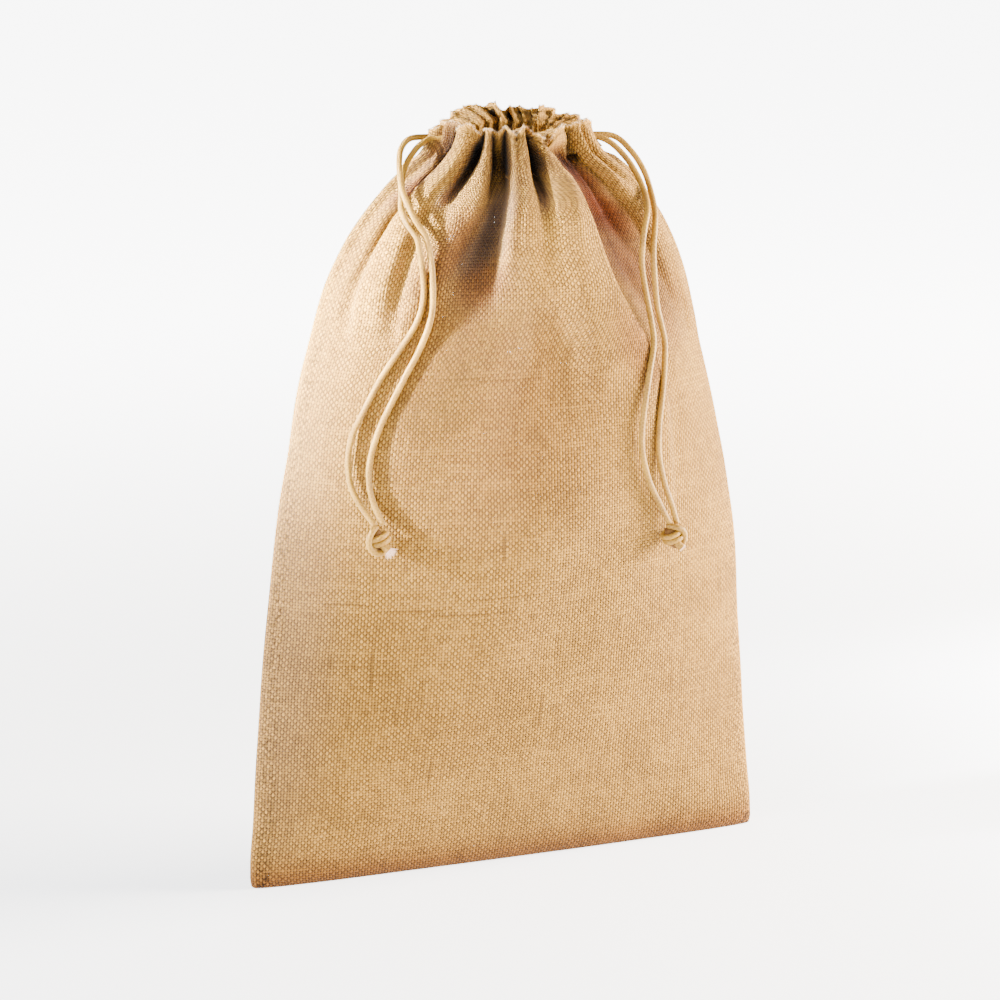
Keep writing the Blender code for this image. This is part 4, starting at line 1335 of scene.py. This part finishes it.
@dataclass
class DrawcordPieces:
    """Builds a drawcord: two hanging strands, the run in the channel and the knot."""

    cord: Drawcord
    form: SackForm
    material: Material
    step: float = 1.6
    ring_from: float = math.radians(20.0)     # where a strand joins the ring, from its exit
    run_from: float = math.radians(22.0)      # where the hidden run does
    run_hugs: float = math.radians(52.0)      # where that run lies in the troughs
    knot_height: float = 14.5
    knot_lean: float = math.radians(26.0)
    knot_turns: float = 2.35
    coil_start: float = -4.4      # of those turns, along the knot's axis from its middle
    coil_length: float = 7.4
    coil_wide: float = 4.5
    coil_deep: float = 3.9
    core_ends: tuple[float, float] = (-6.2, 5.6)
    stub_from: Point = (1.0, -2.8, -2.2)      # the cut end, from the knot's middle
    stub_way: Point = (0.62, -0.42, -0.66)
    stub_length: float = 4.0
    stub_radius: float = 2.0
    # Painted shade: the knot's core, seen between its turns, coloured as the waxed cord in deep shade:
    # dark, without gloss.
    core_shade: PlainFinish = PlainFinish("knot_core_painted_shade", "6E4A20", "3C260F")

    def ring_point(self, angle: float) -> Point:
        """A point of the cord's ring in the channel, which tips with the mouth.

        Args:
            angle: from the cord's own seam, towards the front.

        Returns:
            The point.
        """
        cord = self.cord
        y = -cord.ring_half_depth * math.sin(angle)
        x = cord.ring_shift + cord.side.value * cord.ring_half_width * math.cos(angle)
        return (x, y, cord.level + TIP * y)

    def hidden_point(self, angle: float) -> Point:
        """A point of the run inside the channel, which follows the gathered cloth's troughs.

        Args:
            angle: from the cord's own seam, towards the front.

        Returns:
            The point.
        """
        cord = self.cord
        ring = np.array(self.ring_point(angle)[:2])
        outline, normal = self.form.plain(cord.level)
        turn = angle / TURN
        share = turn if cord.side is Side.LEFT else (0.5 - turn) % 1.0
        place = int(share * self.form.samples) % self.form.samples
        room = eased(cord.level, *zip(*self.form.cord_room))
        hugging = outline[place] + normal[place] * room
        from_exit = min(angle, TURN - angle)
        weight = eased(from_exit, [self.run_from, self.run_hugs], [0.0, 1.0])
        x, y = ring + (hugging - ring) * weight
        return (x, y, cord.level + TIP * y)

    def door(self, front: bool) -> Point:
        """Where a strand leaves the channel."""
        cord = self.cord
        return (cord.ring_shift + cord.side.value * cord.exit_reach,
                -cord.strand_gap if front else cord.strand_gap, cord.level)

    def strand_route(self, front: bool) -> list[Point]:
        """Route of a hanging strand, from inside its exit down to the knot.

        Args:
            front: whether the front strand is meant.

        Returns:
            The route's own points.
        """
        cord = self.cord
        inside = [self.ring_point(angle if front else TURN - angle)
                  for angle in (self.ring_from * 1.6, self.ring_from)]
        strand = cord.front_strand if front else cord.back_strand
        x = cord.knot[0] + (-cord.strand_gap if front else cord.strand_gap)
        top = cord.knot[2] + self.knot_height / 2.0 + 0.9
        return [*inside, self.door(front), *strand, (x, cord.knot[1], top)]

    def make(self) -> None:
        side = self.cord.side.name.lower()
        knot = self.make_knot(f"knot_{side}_tied")
        strands = []
        for front in (True, False):
            route = smooth_route(self.strand_route(front), self.step)
            name = f"strand_{side}_{'front' if front else 'back'}"
            strands.append((tube(name, route, CORD / 2.0), route, front))
        angles = np.linspace(self.run_from, TURN - self.run_from, 21)
        run = smooth_route([self.hidden_point(a) for a in angles[1:-1]], self.step)
        hidden = tube(f"run_{side}", run, CORD / 2.0, 10)
        for piece in [hidden, *(row[0] for row in strands), knot]:
            if not piece.data.materials:
                piece.data.materials.append(self.material)
            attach(piece, "root")
        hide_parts(f"drawcord_{side}")
        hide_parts(f"knot_{side}")
        for piece, route, front in strands:
            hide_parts(f"drawcord_{side}")

    def make_knot(self, name: str) -> Object:
        """Build the tied knot: tight turns of the cord round a core coloured as painted shade, and the
        cut end.

        Args:
            name: the knot's name.

        Returns:
            The knot as one piece.
        """
        middle = np.array(self.cord.knot, float)
        sine, cosine = math.sin(self.knot_lean), math.cos(self.knot_lean)
        axis = np.array([sine, 0.0, -cosine])
        wide = np.array([cosine, 0.0, sine])
        deep = np.array([0.0, 1.0, 0.0])
        turn = np.linspace(0.0, 1.0, 70)
        grip = np.minimum(1.0, 0.45 + 5.0 * np.minimum(turn, 1.0 - turn))
        angle = math.radians(60.0) + turn * TURN * self.knot_turns
        coil = (middle + np.outer(self.coil_start + self.coil_length * turn, axis)
                + (np.cos(angle) * grip * self.coil_wide)[:, None] * wide
                + (np.sin(angle) * grip * self.coil_deep)[:, None] * deep)
        over = smooth_route([tuple(middle + np.array(p)) for p in self.cord.knot_arc], 0.7)
        core = np.linspace(*(middle + axis * end for end in self.core_ends), 18)
        swell = 1.9 + 2.4 * np.sin(np.linspace(0.15, math.pi - 0.15, 18))
        out = np.array(self.stub_way) / np.linalg.norm(self.stub_way)
        stub = middle + self.stub_from + np.outer(np.linspace(0.0, self.stub_length, 9), out)
        parts = []
        for path, radii, sides, finish in (
                (coil, CORD / 2.0, 12, self.material), (over, CORD / 2.0, 12, self.material),
                (core, swell, 14, self.core_shade.build()), (stub, self.stub_radius, 12, self.material)):
            parts.append(tube(name, path, radii, sides))
            parts[-1].data.materials.append(finish)
        parts.append(self.cord.stub_fibres.make(f"{name}_fibres", stub[-1], out, 2.2))
        with bpy.context.temp_override(object=parts[0], active_object=parts[0],
                                       selected_objects=parts, selected_editable_objects=parts):
            bpy.ops.object.join()
        parts[0].name = name
        return parts[0]


# --------------------------------------------------------------------------- studio


@dataclass(frozen=True)
class Lamp:
    """A soft box, lit evenly over its width and height."""

    name: str
    place: Point
    aim: Point
    width: float
    height: float
    power: float
    spread: float         # degrees, narrower than 180 with a grid before the lamp
    colour: str = "FFF6EA"

    def hang(self) -> None:
        """Add the light to the scene."""
        data = bpy.data.lights.new(self.name, "AREA")
        data.shape = "RECTANGLE"
        data.size, data.size_y = self.width, self.height
        data.energy = self.power
        data.spread = math.radians(self.spread)
        data.color = linear(self.colour)[:3]
        light = bpy.data.objects.new(self.name, data)
        light.location = self.place
        back = Vector(self.place) - Vector(self.aim)
        light.rotation_euler = back.to_track_quat("Z", "Y").to_euler()
        bpy.context.scene.collection.objects.link(light)


LAMPS = (                    # metres and watts
    Lamp("key", (-1.45, 0.10, 0.85), (-0.17, 0.0, 0.35), 0.62, 0.18, 12.0, 8.0, "F0F4FF"),
    Lamp("left", (-1.60, -0.60, 0.60), (0.0, 0.0, 0.16), 1.1, 1.1, 72.0, 180.0, "E6EEFF"),
    Lamp("right", (1.80, -0.35, 0.55), (0.0, 0.0, 0.2), 0.9, 0.9, 375.0, 180.0),
    Lamp("front", (-0.5, -2.0, 0.9), (0.0, 0.0, 0.2), 1.2, 1.2, 10.0, 180.0),
    Lamp("top", (0.1, 0.6, 2.3), (0.0, 0.0, 0.2), 2.0, 2.0, 40.0, 180.0, "FFFFFF"),
)


@dataclass(frozen=True)
class Studio:
    """A plain pale floor, soft light and a camera at the photograph's angle, in metres."""

    azimuth: float = -21.4
    elevation: float = 14.5
    distance: float = 2.0
    focal: float = 132.4          # on a sensor 36 mm wide
    aim_right: float = -0.0035
    aim_height: float = 0.203
    ambient: float = 0.1
    floor_reach: float = 6000.0   # millimetres
    near_glow: float = 2.4        # the floor is a light table, dimmer where the sack stands
    near: float = 0.3
    far_glow: float = 8.0
    far: float = 1.6

    def camera(self) -> None:
        """Place the camera."""
        turn, tilt = math.radians(self.azimuth), math.radians(self.elevation)
        back = Vector((math.sin(turn) * math.cos(tilt), -math.cos(turn) * math.cos(tilt),
                       math.sin(tilt)))
        aim = Vector((math.cos(turn), math.sin(turn), 0.0)) * self.aim_right
        aim.z += self.aim_height
        data = bpy.data.cameras.new("camera")
        data.lens = self.focal
        data.sensor_width = 36.0
        camera = bpy.data.objects.new("camera", data)
        camera.location = aim + back * self.distance
        camera.rotation_euler = back.to_track_quat("Z", "Y").to_euler()
        bpy.context.scene.collection.objects.link(camera)
        bpy.context.scene.camera = camera

    def floor(self) -> None:
        """Lay the floor."""
        signs = ((-1, -1), (1, -1), (1, 1), (-1, 1))
        corners = np.array([(x, y, 0.0) for x, y in signs]) * self.floor_reach
        floor = mesh_piece("floor", corners, [(0, 1, 2, 3)])
        # Matt white paper on a light table: an even white, dimmer round the sack.
        paper = PlainFinish("floor_paper", "FDFDFD", "FBFBFB", 0.6, 3.0).build()
        add = partial(add_node, paper.node_tree)
        away = add("ShaderNodeVectorMath", {0: add("ShaderNodeTexCoord").outputs["Object"]},
                   operation="LENGTH")
        strength = add("ShaderNodeMapRange", {
            "Value": away.outputs["Value"], "From Min": self.near, "From Max": self.far,
            "To Min": self.near_glow, "To Max": self.far_glow}, interpolation_type="SMOOTHSTEP")
        glow = paper.node_tree.nodes["Principled BSDF"].inputs
        glow["Emission Color"].default_value = linear("FFFFFF")
        paper.node_tree.links.new(strength.outputs[0], glow["Emission Strength"])
        floor.data.materials.append(paper)

    def lights(self) -> None:
        """Hang the lamps and set the world's fill."""
        for lamp in LAMPS:
            lamp.hang()
        world = bpy.data.worlds.new("studio")
        bpy.context.scene.world = world
        world.use_nodes = True
        ground = world.node_tree.nodes["Background"].inputs
        ground["Color"].default_value = linear("FFFFFF")
        ground["Strength"].default_value = self.ambient


def main() -> None:
    """Build the sack's looks, attach its pieces to the model's body and set up the studio."""
    logging.basicConfig(level=logging.INFO, format="%(message)s")
    for old in list(bpy.data.objects):
        bpy.data.objects.remove(old, do_unlink=True)
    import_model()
    studio = Studio()
    studio.camera()
    straw = CordFinish().build()
    form = SackForm()
    strands = []
    for cord in (LEFT_CORD, RIGHT_CORD):
        pieces = DrawcordPieces(cord, form, straw)
        pieces.make()
        strands += [smooth_route(pieces.strand_route(front), 2.0) for front in (True, False)]
    sack = SackCloth(form, strands)
    cloth = sack.make()
    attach(cloth, "root")
    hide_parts("sack")
    LOG.info("sack_cloth has %d faces", len(cloth.data.polygons))
    fibres = sack.frayed()
    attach(fibres, "root")
    LOG.info("rim_fibres has %d faces", len(fibres.data.polygons))
    studio.floor()
    studio.lights()


if __name__ == "__main__":
    main()
